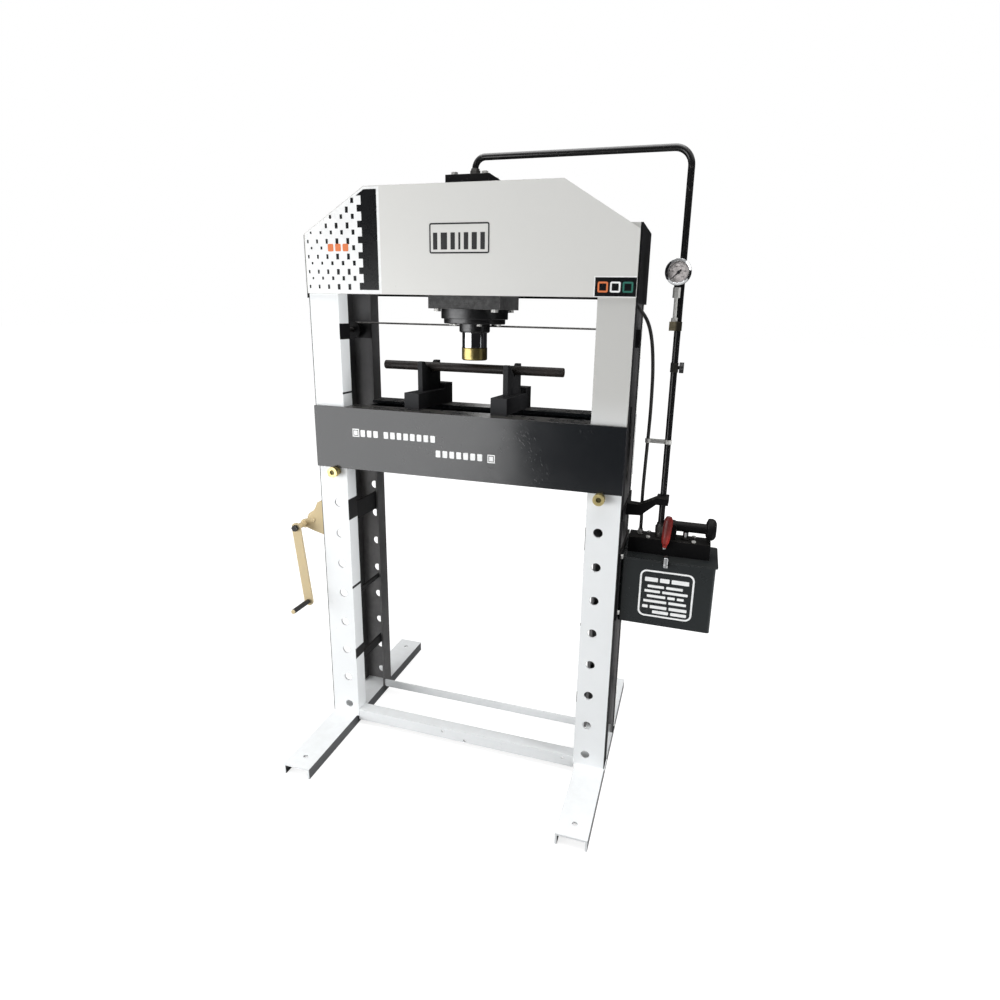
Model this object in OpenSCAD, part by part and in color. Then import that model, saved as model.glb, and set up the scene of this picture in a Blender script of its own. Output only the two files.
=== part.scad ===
// H-frame hydraulic workshop press with a hand winch for the table and a hand pump on the side.
// X runs along the width, +Y to the rear and +Z up. The origin is on the floor, at the centre
// of the frame. All sizes are in millimetres.

/* [Frame] */
// Width over the outer faces of the uprights
frame_width = 976; // [860:2:1180]
// Depth over the outer faces of the front and rear uprights
frame_depth = 240; // [226:2:290]
// Height of the head's top edge above the floor
frame_height = 1770.8; // [1440:0.2:2130]
// Width of the rolled channels that form the uprights
channel_width = 100; // [90:1:112]
// Depth of the channels' flanges
channel_leg = 50; // [40:1:55]
// Thickness of the channels' webs
channel_web = 6; // [5:0.5:8]
// Thickness of the channels' flanges
channel_flange = 7.5; // [6:0.5:9]

/* [Feet and rails] */
// Length of each foot
foot_length = 820; // [700:5:980]
// Width of each foot
foot_width = 92; // [80:1:100]
// Height of each foot
foot_height = 36; // [30:1:44]
// Thickness of the feet's walls
foot_wall = 6; // [4:0.5:8]
// Diameter of the floor anchor holes
anchor_diameter = 15; // [12:0.5:20]
// Distance of the anchor holes from the foot's ends
anchor_inset = 50; // [35:1:80]
// Leg of the angle that forms the front rail
front_rail_leg = 40; // [30:1:50]
// Height of the flat bar that forms the rear rail
rear_rail_height = 28; // [20:1:40]
// Thickness of the rails
rail_wall = 5; // [4:0.5:8]

/* [Pin holes] */
// Diameter of the pin holes
pin_hole_diameter = 28; // [24:0.5:34]
// Vertical distance from hole to hole
pin_hole_pitch = 107.1; // [85:0.1:130]
// Height of the lowest hole above the floor
pin_hole_first = 77; // [65:1:100]
// Distance of the holes from the frame's outer face
pin_hole_inset = 63; // [56:0.5:66]
// Height below the head that has no holes
hole_free_height = 430; // [380:5:520]

/* [Head] */
// Height of the head's plates
head_height = 290.8; // [250:0.2:350]
// Thickness of the head's plates
head_plate = 6; // [5:0.5:10]
// Width of each corner cut
head_cut_width = 200; // [120:1:240]
// Height of each corner cut
head_cut_height = 123.2; // [90:0.2:140]
// Thickness of the two stiffeners beside the cylinder
stiffener_wall = 8; // [6:0.5:12]

/* [Cylinder] */
// Diameter of the ram
ram_diameter = 75; // [60:0.5:80]
// Length of ram that stands out below the gland
ram_reach = 45; // [30:1:60]
// Height of the brass tip
tip_height = 38; // [30:1:45]
// Outer diameter of the barrel
barrel_diameter = 140; // [125:1:150]
// Bore of the barrel
barrel_bore = 100; // [95:1:110]
// Width of the square plate that carries the cylinder
mount_plate_width = 218; // [210:1:250]
// Depth of that plate
mount_plate_depth = 188; // [186:1:200]
// Thickness of that plate
mount_plate_height = 40; // [32:1:45]
// Diameter of the cylinder's flange
flange_diameter = 200; // [186:1:208]

/* [Table] */
// Height of the two table channels
table_height = 194.7; // [160:0.1:230]
// Depth of the table channels' flanges
table_leg = 75; // [60:1:85]
// Thickness of the table channels' webs
table_web = 8; // [6:0.5:10]
// Thickness of the table channels' flanges
table_flange = 10; // [8:0.5:13]
// Gap from the uprights to the table, front and rear
table_gap = 2; // [1:0.5:4]
// Diameter of the table pins
pin_diameter = 27; // [22:0.5:30]

/* [Work pieces] */
// Width of a V-block's base
block_width = 52; // [44:1:60]
// Depth of a V-block's base
block_depth = 204; // [180:1:220]
// Height of a V-block's base
block_base_height = 49; // [40:1:60]
// Height of a V-block over all
block_height = 141.7; // [125:0.1:160]
// Thickness of a V-block's upright
block_web = 16; // [12:1:24]
// Depth of a V-block's upright
block_web_depth = 108; // [90:1:130]
// Diameter of the round bar on the blocks
bar_diameter = 28; // [22:0.5:32]
// Length of the round bar
bar_length = 592; // [500:1:700]

/* [Winch and ropes] */
// Diameter of the wire rope
rope_diameter = 6; // [5:0.5:7]
// Radius of the rope's centre line on a sheave
sheave_radius = 24; // [20:0.5:27]
// Radius of the winch drum
drum_radius = 14; // [12:0.5:16]
// Module of the winch gears
gear_module = 2; // [1.8:0.1:2.2]
// Length of the crank, from shaft to grip
crank_length = 259.6; // [200:0.2:310]

/* [Pump and pipe] */
// Length of the oil tank
tank_length = 265; // [214:1:310]
// Depth of the oil tank
tank_depth = 164; // [140:1:180]
// Height of the oil tank without its lid
tank_height = 200; // [165:1:240]
// Height of the tank's underside above the floor
tank_bottom = 549; // [480:1:600]
// Diameter of the pressure pipe
pipe_diameter = 18; // [14:0.5:21]
// Diameter of the return hose
hose_diameter = 10; // [8:0.5:12]
// Diameter of the pressure gauge
gauge_diameter = 68; // [62:1:84]

/* [Hidden] */

$fn = 48;
half_w = frame_width / 2;
half_d = frame_depth / 2;
touch = 0.3;                 // gap kept where two moving pieces rest on each other
running = 0.05;              // radial clearance of shafts in their bores
bolt_play = 0.5;             // radial clearance of bolts in their holes
through = 1;                 // how far a cut runs past a face

// uprights
upright_inner = half_w - channel_width;
foot_x = half_w - foot_width / 2;
gap_half = half_d - channel_leg;          // half of the open gap between front and rear
tie_low = 240;
tie_drop = 18;                            // the middle batten sits this far below half way
pin_x = half_w - pin_hole_inset;

// head
head_bottom = frame_height - head_height;
cut_level = frame_height - head_cut_height;
upright_top = cut_level + 16;
left_top = cut_level - 2;                 // on the left the uprights stay below the cut corner
side_bottom = head_bottom - 13;
side_wall = 6;

// cylinder, from the mount plate downwards
mount_top = head_bottom + 3.5;
mount_bottom = mount_top - mount_plate_height;
flange_height = 28;
collar_height = 14;
collar_diameter = flange_diameter - 16;
flange_bottom = mount_bottom - flange_height;
collar_bottom = flange_bottom - collar_height;
gland_height = 24;
gland_bottom = collar_bottom - gland_height;
gland_diameter = ram_diameter + 17;
tip_bottom = gland_bottom - ram_reach - tip_height;
barrel_top = frame_height + 12.2;
barrel_wall = (barrel_diameter - barrel_bore) / 2;
cap_height = 20;
cap_width = barrel_diameter - 10;
piston_height = 40;
mount_bolt_x = mount_plate_width / 2 - 21;
mount_bolt_y = mount_plate_depth / 2 - 18;
stiffener_leg = mount_plate_width / 2 - barrel_diameter / 2 - 7;
stiffener_height = 216;

// table: it stands on the highest pair of pins that leaves room below the ram
load_height = block_height;
room = tip_bottom - load_height - table_height - pin_diameter / 2 - touch;
pin_level = floor((room - pin_hole_first) / pin_hole_pitch);
pin_hole_count = floor((head_bottom - hole_free_height - pin_hole_first) / pin_hole_pitch) + 1;
pin_z = pin_hole_first + pin_level * pin_hole_pitch;
tie_top = pin_z - 149.8;
table_bottom = pin_z + pin_diameter / 2 + touch;
table_top = table_bottom + table_height;
table_face = half_d + table_gap;          // inner face of the table's webs
table_flange_x = upright_inner - 3;
spacer_wall = 10;
spacer_x = table_flange_x - 20;
lug_wall = 8;
lug_rise = 32;

// work pieces
block_centre_y = half_d - 92;
block_left = [-165, block_centre_y];
block_right = [112, block_centre_y];
block_turn_left = -8;
block_turn_right = -5;
block_step = 18;                          // the rear end stands this much above the base
web_offset = 2;                           // the block's upright stands behind its middle
bar_z = table_top + block_height - bar_diameter / 2 - 4;
bar_y = block_centre_y + web_offset;
bar_centre_x = -22;
notch_drop = 1.3;                         // the V is cut this much deeper than the bar needs

// sheaves and ropes
sheave_x = half_w - 42;
sheave_z = head_bottom - 109;
sheave_width = 12;
sheave_rim = sheave_radius + 4;
axle_radius = 8;
across_y = gland_diameter / 2 + 6;
drop_y = -45;
bracket_wall = 6;
bracket_height = 52;
rope_top = sheave_z + sheave_radius;
drop_right_x = sheave_x + sheave_radius;
drop_left_x = -sheave_x + sheave_radius;
lug_top = table_top + lug_rise;
ferrule_height = 30;
drop_top = sheave_z - 4;                  // the rope hangs straight from here down
rope_sides = 10;

// winch on the left upright
drum_teeth = 26;
pinion_teeth = 13;
drum_x = -half_w - 37.8;
drum_z = 754.5;
gear_reach = gear_module * (drum_teeth + pinion_teeth) / 2;
crank_rise = -16.5;
crank_x = drum_x - sqrt(gear_reach * gear_reach - crank_rise * crank_rise);
crank_z = drum_z + crank_rise;
crank_lean = 6.4;                         // the crank hangs this many degrees towards the frame
winch_front = -half_d + 2;
winch_rear = -gap_half + 20;
winch_wall = 3;
winch_base = 4;
shaft_radius = 6;
crank_shaft_radius = 7;
gear_width = 8;
drum_flange_radius = 28;
crank_y = -half_d - 46;               // front face of the crank arm
crank_wall = 6;
crank_width = 32;
grip_length = 80;
grip_radius = 8;
spindle_radius = 4;
coil_radius = drum_radius + rope_diameter / 2;
across_start_y = winch_rear - 20;
drop_start_y = winch_rear - 34;

// tank and pump on the right upright
tank_wall = 3;
tank_plate_wall = 6;
tank_x = half_w + tank_plate_wall;
tank_y = -7;
tank_lid_wall = 4;
lid_lip = 6;                              // the lid stands out at its right and its rear
lid_top = tank_bottom + tank_height + tank_lid_wall;
pump_x = half_w + 17;
pump_length = 235;
pump_depth = 64;
pump_height = 47;
pump_top = lid_top + pump_height;
pipe_x = half_w + 106;
hose_x = half_w + 48;
lever_x = half_w + 142;
lever_z = pump_top + 38;
lever_radius = 15;
lever_length = 109;
lever_knob_radius = 32;
ear_gap = 2;
ear_wall = 6;
pivot_radius = 5;
plunger_x = lever_x + 38;
plunger_radius = 8;
plunger_top = lever_z - lever_radius - 0.5;
valve_x = half_w + 124;
valve_y = tank_y - pump_depth / 2 - 18;
valve_z = lid_top + 37;

// pressure pipe
pipe_radius = pipe_diameter / 2;
pipe_level = frame_height + 87.2;
elbow_radius = 30;
corner_radius = 45;
cap_top = barrel_top + cap_height;
union_height = pipe_level - elbow_radius - cap_top;
pump_union_height = 40;
tee_z = head_bottom - 70;
shutoff_z = head_bottom - 182;
clip_z = 1086;
clamp_z = 915;
block_side = 21;
gauge_x = pipe_x - 9;
gauge_y = -35;
gauge_z = head_bottom + 69;
gauge_radius = gauge_diameter / 2;
gauge_depth = 30;
gauge_back = gauge_y + gauge_depth / 2;
stem_x = pipe_x - 10;
stem_y = -22;

// return hose: its route through the open side of the frame, in the plane Y = 0; both ends
// keep their places when the head or the pump moves
hose_port_z = mount_top + 16.5;
hose_end_z = pump_top + 16;
function hose_point(x, z) = [x, 0, hose_end_z + (z - 816) * (hose_port_z - hose_end_z) / 684];
hose_route = [
    hose_point(barrel_diameter / 2 + 16, 1500), hose_point(180, 1500), hose_point(290, 1500),
    hose_point(half_w - 108, 1499), hose_point(half_w - 58, 1491), hose_point(half_w - 26, 1475),
    hose_point(half_w, 1453), hose_point(half_w + 20, 1427), hose_point(half_w + 33, 1395),
    hose_point(half_w + 42, 1350), hose_point(half_w + 48, 1285), hose_point(half_w + 50, 1212),
    hose_point(half_w + 50, 1145), hose_point(half_w + 48, 1050), hose_point(half_w + 46, 960),
    hose_point(half_w + 46, 890), hose_point(half_w + 48, 850), hose_point(half_w + 48, 816)
];
hose_steps = 3;

// ---- colours ----
white_paint = [0.86, 0.87, 0.87];
black_paint = [0.07, 0.07, 0.08];
grey_paint = [0.20, 0.21, 0.22];
steel = [0.62, 0.63, 0.64];
chrome = [0.85, 0.86, 0.88];
brass = [0.78, 0.64, 0.26];
zinc_gold = [0.72, 0.62, 0.36];
rubber = [0.05, 0.05, 0.05];
red_plastic = [0.65, 0.07, 0.07];
dial_face = [0.75, 0.76, 0.75];

// ---- helpers ----
function unit(v) = v / norm(v);
function tangent(path, i) =
    unit(path[min(i + 1, len(path) - 1)] - path[max(i - 1, 0)]);
function ring(path, i, r, n) =
    let (t = tangent(path, i), s = unit(cross(t, [0, 1, 0])), u = cross(s, t))
    [for (k = [0:n - 1]) path[i] + r * (cos(360 * k / n) * s + sin(360 * k / n) * u)];
function curve(p, i, t) =
    let (a = p[max(i - 1, 0)], b = p[i], c = p[i + 1], d = p[min(i + 2, len(p) - 1)])
    0.5 * (2 * b + (c - a) * t + (2 * a - 5 * b + 4 * c - d) * t * t
        + (3 * b - a - 3 * c + d) * t * t * t);
function smooth_route(p, steps) = [
    for (i = [0:len(p) - 2]) for (k = [0:steps - 1]) curve(p, i, k / steps),
    p[len(p) - 1]
];

// A tube along a path, with flat ends.
module tube_along(path, r, n) {
    rings = len(path);
    points = [for (i = [0:rings - 1]) each ring(path, i, r, n)];
    sides = [
        for (i = [0:rings - 2]) for (k = [0:n - 1])
            let (a = i * n + k, b = i * n + (k + 1) % n)
            each [[a, b, b + n], [a, b + n, a + n]]
    ];
    first = [for (k = [n - 1:-1:0]) k];
    last = [for (k = [0:n - 1]) (rings - 1) * n + k];
    polyhedron(points, concat([first], sides, [last]), convexity = 6);
}

module both_sides() {
    for (side = [-1, 1]) scale([side, 1, 1]) children();
}

// A cylinder along +Y from y0 to y1.
module y_rod(x, z, r, y0, y1) {
    translate([x, y0, z]) rotate([-90, 0, 0]) cylinder(r = r, h = y1 - y0);
}

// A cylinder along +X from x0 to x1.
module x_rod(y, z, r, x0, x1) {
    translate([x0, y, z]) rotate([0, 90, 0]) cylinder(r = r, h = x1 - x0);
}

// A hexagon bolt that points up: its head hangs below z = 0.
module bolt_up(d, shank) {
    translate([0, 0, -0.65 * d]) cylinder(d = 1.85 * d, h = 0.65 * d, $fn = 6);
    cylinder(d = d, h = shank);
}

// An outline drawn in X and Z, given depth along Y.
module slab_xz(y0, y1) {
    translate([0, y1, 0]) rotate([90, 0, 0]) linear_extrude(y1 - y0) children();
}

// ---- frame ----
module foot() {
    translate([foot_x - foot_width / 2, -foot_length / 2, 0]) difference() {
        cube([foot_width, foot_length, foot_height]);
        translate([foot_wall, -through, -through])
            cube([foot_width - 2 * foot_wall, foot_length + 2 * through,
                foot_height - foot_wall + through]);
        for (y = [anchor_inset, foot_length - anchor_inset])
            translate([foot_width / 2, y, 0]) cylinder(d = anchor_diameter, h = foot_height + 1);
    }
}

module feet() {
    color(white_paint) {
        foot();
        mirror([1, 0, 0]) foot();
    }
}

module channel_outline() {
    difference() {
        square([channel_width, channel_leg]);
        translate([channel_flange, channel_web])
            square([channel_width - 2 * channel_flange, channel_leg]);
    }
}

// The right front upright; the others are its mirror images.
module upright(top) {
    difference() {
        translate([upright_inner, -half_d, foot_height])
            linear_extrude(top - foot_height) channel_outline();
        for (k = [0:pin_hole_count - 1])
            y_rod(pin_x, pin_hole_first + k * pin_hole_pitch, pin_hole_diameter / 2,
                -half_d - through, -half_d + channel_web + through);
    }
}

module uprights_front() {
    color(white_paint) {
        upright(upright_top);
        mirror([1, 0, 0]) upright(left_top);
    }
}

module uprights_rear() {
    color(black_paint) mirror([0, 1, 0]) {
        upright(upright_top);
        mirror([1, 0, 0]) upright(left_top);
    }
}

// A batten welded between the webs of the front and rear channels.
module tie(z, h) {
    inner = half_d - channel_web;
    translate([upright_inner + channel_flange, -inner, z - h / 2]) cube([8, 2 * inner, h]);
}

module upright_ties() {
    color(black_paint) for (side = [0, 1]) mirror([side, 0, 0]) {
        tie(tie_top, 60);
        tie((tie_top + tie_low) / 2 - tie_drop, 13);
        tie(tie_low, 30);
    }
}

module front_rail() {
    color(white_paint) difference() {
        translate([-upright_inner, -half_d, 20]) union() {
            cube([2 * upright_inner, rail_wall, front_rail_leg]);
            translate([0, 0, front_rail_leg - rail_wall])
                cube([2 * upright_inner, front_rail_leg, rail_wall]);
        }
        for (p = [[-67, 46], [14, 28], [352, 46]])
            y_rod(p[0], p[1], 4.5, -half_d - through, -half_d + rail_wall + through);
    }
}

module rear_rail() {
    color(black_paint) translate([-upright_inner, gap_half + 2, 34])
        cube([2 * upright_inner, rail_wall, rear_rail_height]);
}

// ---- head ----
module head_outline() {
    top_half = half_w - head_cut_width;
    polygon([
        [-half_w, head_bottom], [half_w, head_bottom], [half_w, cut_level],
        [top_half, frame_height], [-top_half, frame_height], [-half_w, cut_level]
    ]);
}

module head_front_plate() {
    color(white_paint) slab_xz(-half_d - head_plate, -half_d) head_outline();
}

module head_rear_plate() {
    color(black_paint) slab_xz(half_d, half_d + head_plate) head_outline();
}

module head_sides() {
    color(black_paint) for (side = [0, 1]) mirror([side, 0, 0])
        translate([half_w, -half_d, side_bottom])
            cube([side_wall, frame_depth, (side > 0 ? left_top : upright_top) - side_bottom]);
}

// An angle from the front plate to the rear plate; the mount plate hangs from its flat leg.
module stiffener() {
    outer = mount_plate_width / 2;
    difference() {
        translate([0, -half_d, mount_top]) union() {
            translate([outer - stiffener_wall, 0, 0])
                cube([stiffener_wall, frame_depth, stiffener_height]);
            translate([outer - stiffener_leg, 0, 0])
                cube([stiffener_leg, frame_depth, stiffener_wall]);
        }
        for (y = [-mount_bolt_y, mount_bolt_y])
            translate([mount_bolt_x, y, mount_top - through])
                cylinder(r = 6 + bolt_play, h = stiffener_wall + 2 * through);
        x_rod(0, hose_port_z, hose_diameter / 2 + 4, outer - stiffener_wall - through,
            outer + through);
    }
}

module head_stiffeners() {
    color(black_paint) {
        stiffener();
        mirror([1, 0, 0]) stiffener();
    }
}

// ---- cylinder ----
module cylinder_mount_plate() {
    color(grey_paint) difference() {
        translate([-mount_plate_width / 2, -mount_plate_depth / 2, mount_bottom])
            cube([mount_plate_width, mount_plate_depth, mount_plate_height]);
        translate([0, 0, mount_bottom - through])
            cylinder(d = barrel_diameter, h = mount_plate_height + 2 * through, $fn = 96);
        for (x = [-mount_bolt_x, mount_bolt_x]) for (y = [-mount_bolt_y, mount_bolt_y])
            translate([x, y, mount_bottom - through])
                cylinder(r = 6 + bolt_play, h = mount_plate_height + 2 * through);
    }
}

// Places on a bolt circle of radius r, the first one at angle a0.
module on_circle(r, n, a0) {
    for (k = [0:n - 1]) rotate([0, 0, a0 + 360 * k / n]) translate([r, 0, 0]) children();
}

flange_bolt_circle = collar_diameter / 2 - 16;
cap_bolt_place = cap_width / 2 - 20;
mount_grip = mount_plate_height + stiffener_wall;

module cylinder_bolts() {
    color(steel) {
        for (x = [-mount_bolt_x, mount_bolt_x]) for (y = [-mount_bolt_y, mount_bolt_y])
            translate([x, y, mount_bottom]) {
                bolt_up(12, mount_grip + 8);
                translate([0, 0, mount_grip]) cylinder(d = 22, h = 9, $fn = 6);
            }
        translate([0, 0, collar_bottom])
            on_circle(flange_bolt_circle, 6, 0) bolt_up(8, collar_height + flange_height);
        for (x = [-cap_bolt_place, cap_bolt_place]) for (y = [-cap_bolt_place, cap_bolt_place])
            translate([x, y, cap_top]) cylinder(d = 20, h = 9, $fn = 6);
    }
}

module cylinder_barrel() {
    color(black_paint) difference() {
        translate([0, 0, collar_bottom]) cylinder(d = barrel_diameter,
            h = barrel_top - collar_bottom, $fn = 96);
        translate([0, 0, collar_bottom - through]) cylinder(d = barrel_bore,
            h = barrel_top - collar_bottom + 2 * through, $fn = 96);
        x_rod(0, hose_port_z, 4, barrel_bore / 2 - 3, barrel_diameter / 2 + through);
    }
}

module cylinder_flange() {
    inner = barrel_diameter / 2;
    color(steel) difference() {
        rotate_extrude($fn = 96) polygon([
            [inner, collar_bottom], [collar_diameter / 2 - 2, collar_bottom],
            [collar_diameter / 2, collar_bottom + 2], [collar_diameter / 2, flange_bottom],
            [flange_diameter / 2 - 1.5, flange_bottom], [flange_diameter / 2, flange_bottom + 1.5],
            [flange_diameter / 2, mount_bottom], [inner, mount_bottom]
        ]);
        translate([0, 0, collar_bottom - through])
            on_circle(flange_bolt_circle, 6, 0)
                cylinder(r = 4 + bolt_play, h = collar_height + flange_height + 2 * through);
    }
}

module gland() {
    bore = ram_diameter / 2 + running;
    plug = barrel_bore / 2;
    color(black_paint) rotate_extrude($fn = 96) polygon([
        [bore, gland_bottom], [gland_diameter / 2 - 2, gland_bottom],
        [gland_diameter / 2, gland_bottom + 2], [gland_diameter / 2, collar_bottom],
        [plug, collar_bottom], [plug, collar_bottom + 40], [bore, collar_bottom + 40]
    ]);
}

module cylinder_cap() {
    color(black_paint) difference() {
        translate([-cap_width / 2, -cap_width / 2, barrel_top])
            cube([cap_width, cap_width, cap_height]);
        translate([0, 0, barrel_top - through]) cylinder(r = 5, h = cap_height + 2 * through);
    }
}

// The chromed ram, turned in one with its piston.
module ram() {
    rod = ram_diameter / 2;
    piston = barrel_bore / 2 - running;
    piston_bottom = collar_bottom + 120;
    color(chrome) rotate_extrude($fn = 96) polygon([
        [0, tip_bottom + tip_height], [rod, tip_bottom + tip_height], [rod, piston_bottom],
        [piston, piston_bottom], [piston, piston_bottom + piston_height],
        [0, piston_bottom + piston_height]
    ]);
}

module ram_tip() {
    r = ram_diameter / 2 + 1;
    color(brass) rotate_extrude($fn = 96) polygon([
        [0, tip_bottom], [r - 3, tip_bottom], [r, tip_bottom + 3],
        [r, tip_bottom + tip_height - 1], [r - 1, tip_bottom + tip_height],
        [0, tip_bottom + tip_height]
    ]);
}

// ---- pressure pipe and gauge ----
// A hexagon nut on a round shoulder, bored for the pipe's oil.
module union_fitting(h) {
    difference() {
        union() {
            cylinder(r = 15, h = 0.3 * h);
            translate([0, 0, 0.3 * h]) cylinder(r = 15.5, h = 0.5 * h, $fn = 6);
            translate([0, 0, 0.8 * h]) cylinder(r = 12, h = 0.2 * h);
        }
        translate([0, 0, -through]) cylinder(r = 5, h = h + 2 * through);
    }
}

module pipe_fittings() {
    color(steel) {
        translate([0, 0, cap_top]) union_fitting(union_height);
        translate([pipe_x, 0, pump_top]) union_fitting(pump_union_height);
    }
}

// A quarter bend in the plane Y = 0 whose centre is at (x, z); it spans angles a0 to a0 + 90.
module bend(x, z, radius, a0) {
    translate([x, 0, z]) rotate([90, 0, 0]) rotate([0, 0, a0])
        rotate_extrude(angle = 90, $fn = 96) translate([radius, 0]) difference() {
            circle(r = pipe_radius);
            circle(r = pipe_radius - 3);
        }
}

module pipe_run(h) {
    difference() {
        cylinder(r = pipe_radius, h = h);
        translate([0, 0, -through]) cylinder(r = pipe_radius - 3, h = h + 2 * through);
    }
}

module pressure_pipe() {
    level_start = elbow_radius;
    level_end = pipe_x - corner_radius;
    drop_start = pipe_level - corner_radius;
    color(black_paint) union() {
        bend(elbow_radius, pipe_level - elbow_radius, elbow_radius, 90);
        translate([level_start, 0, pipe_level]) rotate([0, 90, 0]) pipe_run(level_end - level_start);
        bend(level_end, drop_start, corner_radius, 0);
        translate([pipe_x, 0, pump_top + pump_union_height])
            pipe_run(drop_start - pump_top - pump_union_height);
    }
}

// A brass block on the pipe, from x0 to its right face and from y0 to its rear face.
module pipe_block(z, h, x0, y0) {
    side = block_side / 2;
    difference() {
        translate([x0, y0, z - h / 2]) cube([pipe_x + side - x0, side - y0, h]);
        translate([pipe_x, 0, z - h]) cylinder(r = pipe_radius, h = 2 * h);
    }
}

// The tee of the gauge line and the body of the shut-off valve.
module pipe_blocks() {
    color(brass) {
        pipe_block(tee_z, 24, stem_x - 12, stem_y - 10);
        pipe_block(shutoff_z, 26, pipe_x - block_side / 2, -block_side / 2);
    }
}

module gauge_stem() {
    top = gauge_z - gauge_radius - 4;
    color(chrome) difference() {
        union() {
            translate([stem_x, stem_y, tee_z + 12]) cylinder(r = 5, h = top - tee_z - 12);
            translate([stem_x, stem_y, top - 27]) cylinder(r = 10, h = 27, $fn = 6);
            translate([stem_x, stem_y, tee_z + 12]) cylinder(r = 8.5, h = 10, $fn = 6);
        }
        translate([stem_x, stem_y, tee_z]) cylinder(r = 2.5, h = top - tee_z - 6);
    }
}

module gauge_case() {
    color(black_paint) difference() {
        union() {
            y_rod(gauge_x, gauge_z, gauge_radius - 2, gauge_y - gauge_depth / 2 + 4, gauge_back);
            translate([stem_x, stem_y, gauge_z - gauge_radius - 4]) cylinder(r = 8, h = 14);
        }
        y_rod(gauge_x, gauge_z, gauge_radius - 4, gauge_y - gauge_depth / 2, gauge_y + 7);
    }
}

module gauge_bezel() {
    front = gauge_y - gauge_depth / 2;
    color(chrome) translate([gauge_x, front, gauge_z]) rotate([-90, 0, 0])
        rotate_extrude($fn = 96) polygon([
            [gauge_radius - 7, 0], [gauge_radius - 1.5, 0], [gauge_radius, 1.5],
            [gauge_radius, 8], [gauge_radius - 2, 8], [gauge_radius - 2, 4],
            [gauge_radius - 7, 4]
        ]);
}

dial_front = gauge_y + 3;

module gauge_dial() {
    color(dial_face) difference() {
        y_rod(gauge_x, gauge_z, gauge_radius - 4, dial_front, dial_front + 4);
        y_rod(gauge_x, gauge_z, 1.5 + running, dial_front - through, dial_front + 4 + through);
    }
}

module gauge_glass() {
    front = gauge_y - gauge_depth / 2;
    color([0.8, 0.9, 0.9, 0.4])
        y_rod(gauge_x, gauge_z, gauge_radius - 4, front + 4, front + 6);
}

// The needle points down and left, at the dial's zero.
module gauge_needle() {
    color("black") {
        y_rod(gauge_x, gauge_z, 1.5, dial_front - 4, dial_front + 3);
        translate([gauge_x, 0, gauge_z]) rotate([0, 45, 0]) translate([-gauge_x, 0, -gauge_z])
            slab_xz(dial_front - 3, dial_front - 2) translate([gauge_x, gauge_z])
                polygon([[-2, 9], [2, 9], [0.6, -gauge_radius + 13], [-0.6, -gauge_radius + 13]]);
        y_rod(gauge_x, gauge_z, 4, dial_front - 5, dial_front - 1.5);
    }
}

module shutoff_knob() {
    start = pipe_x + block_side / 2;
    color(black_paint) difference() {
        union() {
            x_rod(0, shutoff_z, 5, start + touch, start + 4);
            x_rod(0, shutoff_z, 15, start + 3, start + 15);
        }
        for (k = [0:7]) rotate_about_x(shutoff_z, 45 * k)
            x_rod(0, shutoff_z + 17, 4, start + 2, start + 16);
    }
}

module rotate_about_x(z, a) {
    translate([0, 0, z]) rotate([a, 0, 0]) translate([0, 0, -z]) children();
}

module pipe_bracket() {
    strap_height = 36;
    strap_z = clamp_z - 49;
    clamp_half = pipe_radius + 8;
    color(black_paint) difference() {
        union() {
            translate([half_w, -half_d + 12, strap_z]) cube([4, frame_depth - 24, strap_height]);
            slab_xz(-38, -hose_diameter / 2 - 3) polygon([
                [half_w + 4, strap_z], [half_w + 4, strap_z + strap_height],
                [half_w + 42, strap_z + strap_height - 2], [pipe_x - clamp_half, clamp_z + 10],
                [pipe_x - clamp_half, clamp_z - 10], [half_w + 47, strap_z + 2]
            ]);
            translate([pipe_x - clamp_half, -38, clamp_z - 10]) cube([2 * clamp_half, 54, 20]);
        }
        translate([pipe_x, 0, clamp_z - 20]) cylinder(r = pipe_radius, h = 40);
    }
}

// ---- return hose ----
module return_hose() {
    color(rubber) tube_along(smooth_route(hose_route, hose_steps), hose_diameter / 2, 10);
}

module hose_fittings() {
    pump_end = hose_route[len(hose_route) - 1][2];
    color(steel) {
        x_rod(0, hose_port_z, 8, barrel_diameter / 2, hose_route[0][0]);
        x_rod(0, hose_port_z, 3.5, barrel_diameter / 2 - 8, barrel_diameter / 2 + 1);
        translate([hose_x, 0, pump_top]) cylinder(r = 9, h = pump_end - pump_top - 6, $fn = 6);
        translate([hose_x, 0, pump_end - 6]) cylinder(r = 7, h = 6);
    }
}

// A clip that ties the hose to the pipe.
module hose_clip() {
    hose_grip = hose_diameter / 2 + 0.8;
    color(black_paint) translate([0, 0, clip_z - 6]) difference() {
        union() {
            translate([hose_x + 1, -3, 0]) cube([pipe_x - hose_x - 1, 6, 12]);
            translate([hose_x + 1, 0, 0]) cylinder(r = hose_grip + 2, h = 12);
            translate([pipe_x, 0, 0]) cylinder(r = pipe_radius + 2, h = 12);
        }
        translate([pipe_x, 0, -through]) cylinder(r = pipe_radius, h = 12 + 2 * through);
        translate([hose_x + 1, 0, -through]) cylinder(r = hose_grip, h = 12 + 2 * through);
    }
}

// ---- tank and pump ----
module tank_plate() {
    color(black_paint) difference() {
        translate([half_w, -half_d + 8, tank_bottom + 8])
            cube([tank_plate_wall, frame_depth - 16, tank_height + 12]);
        for (y = tank_bolt_y) for (z = tank_bolt_z)
            x_rod(y, z, 4 + bolt_play, half_w - through, half_w + tank_plate_wall + through);
    }
}

tank_bolt_y = [-half_d + 19, half_d - 19];
tank_bolt_z = [tank_bottom + 30, tank_bottom + tank_height + 8];

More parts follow.
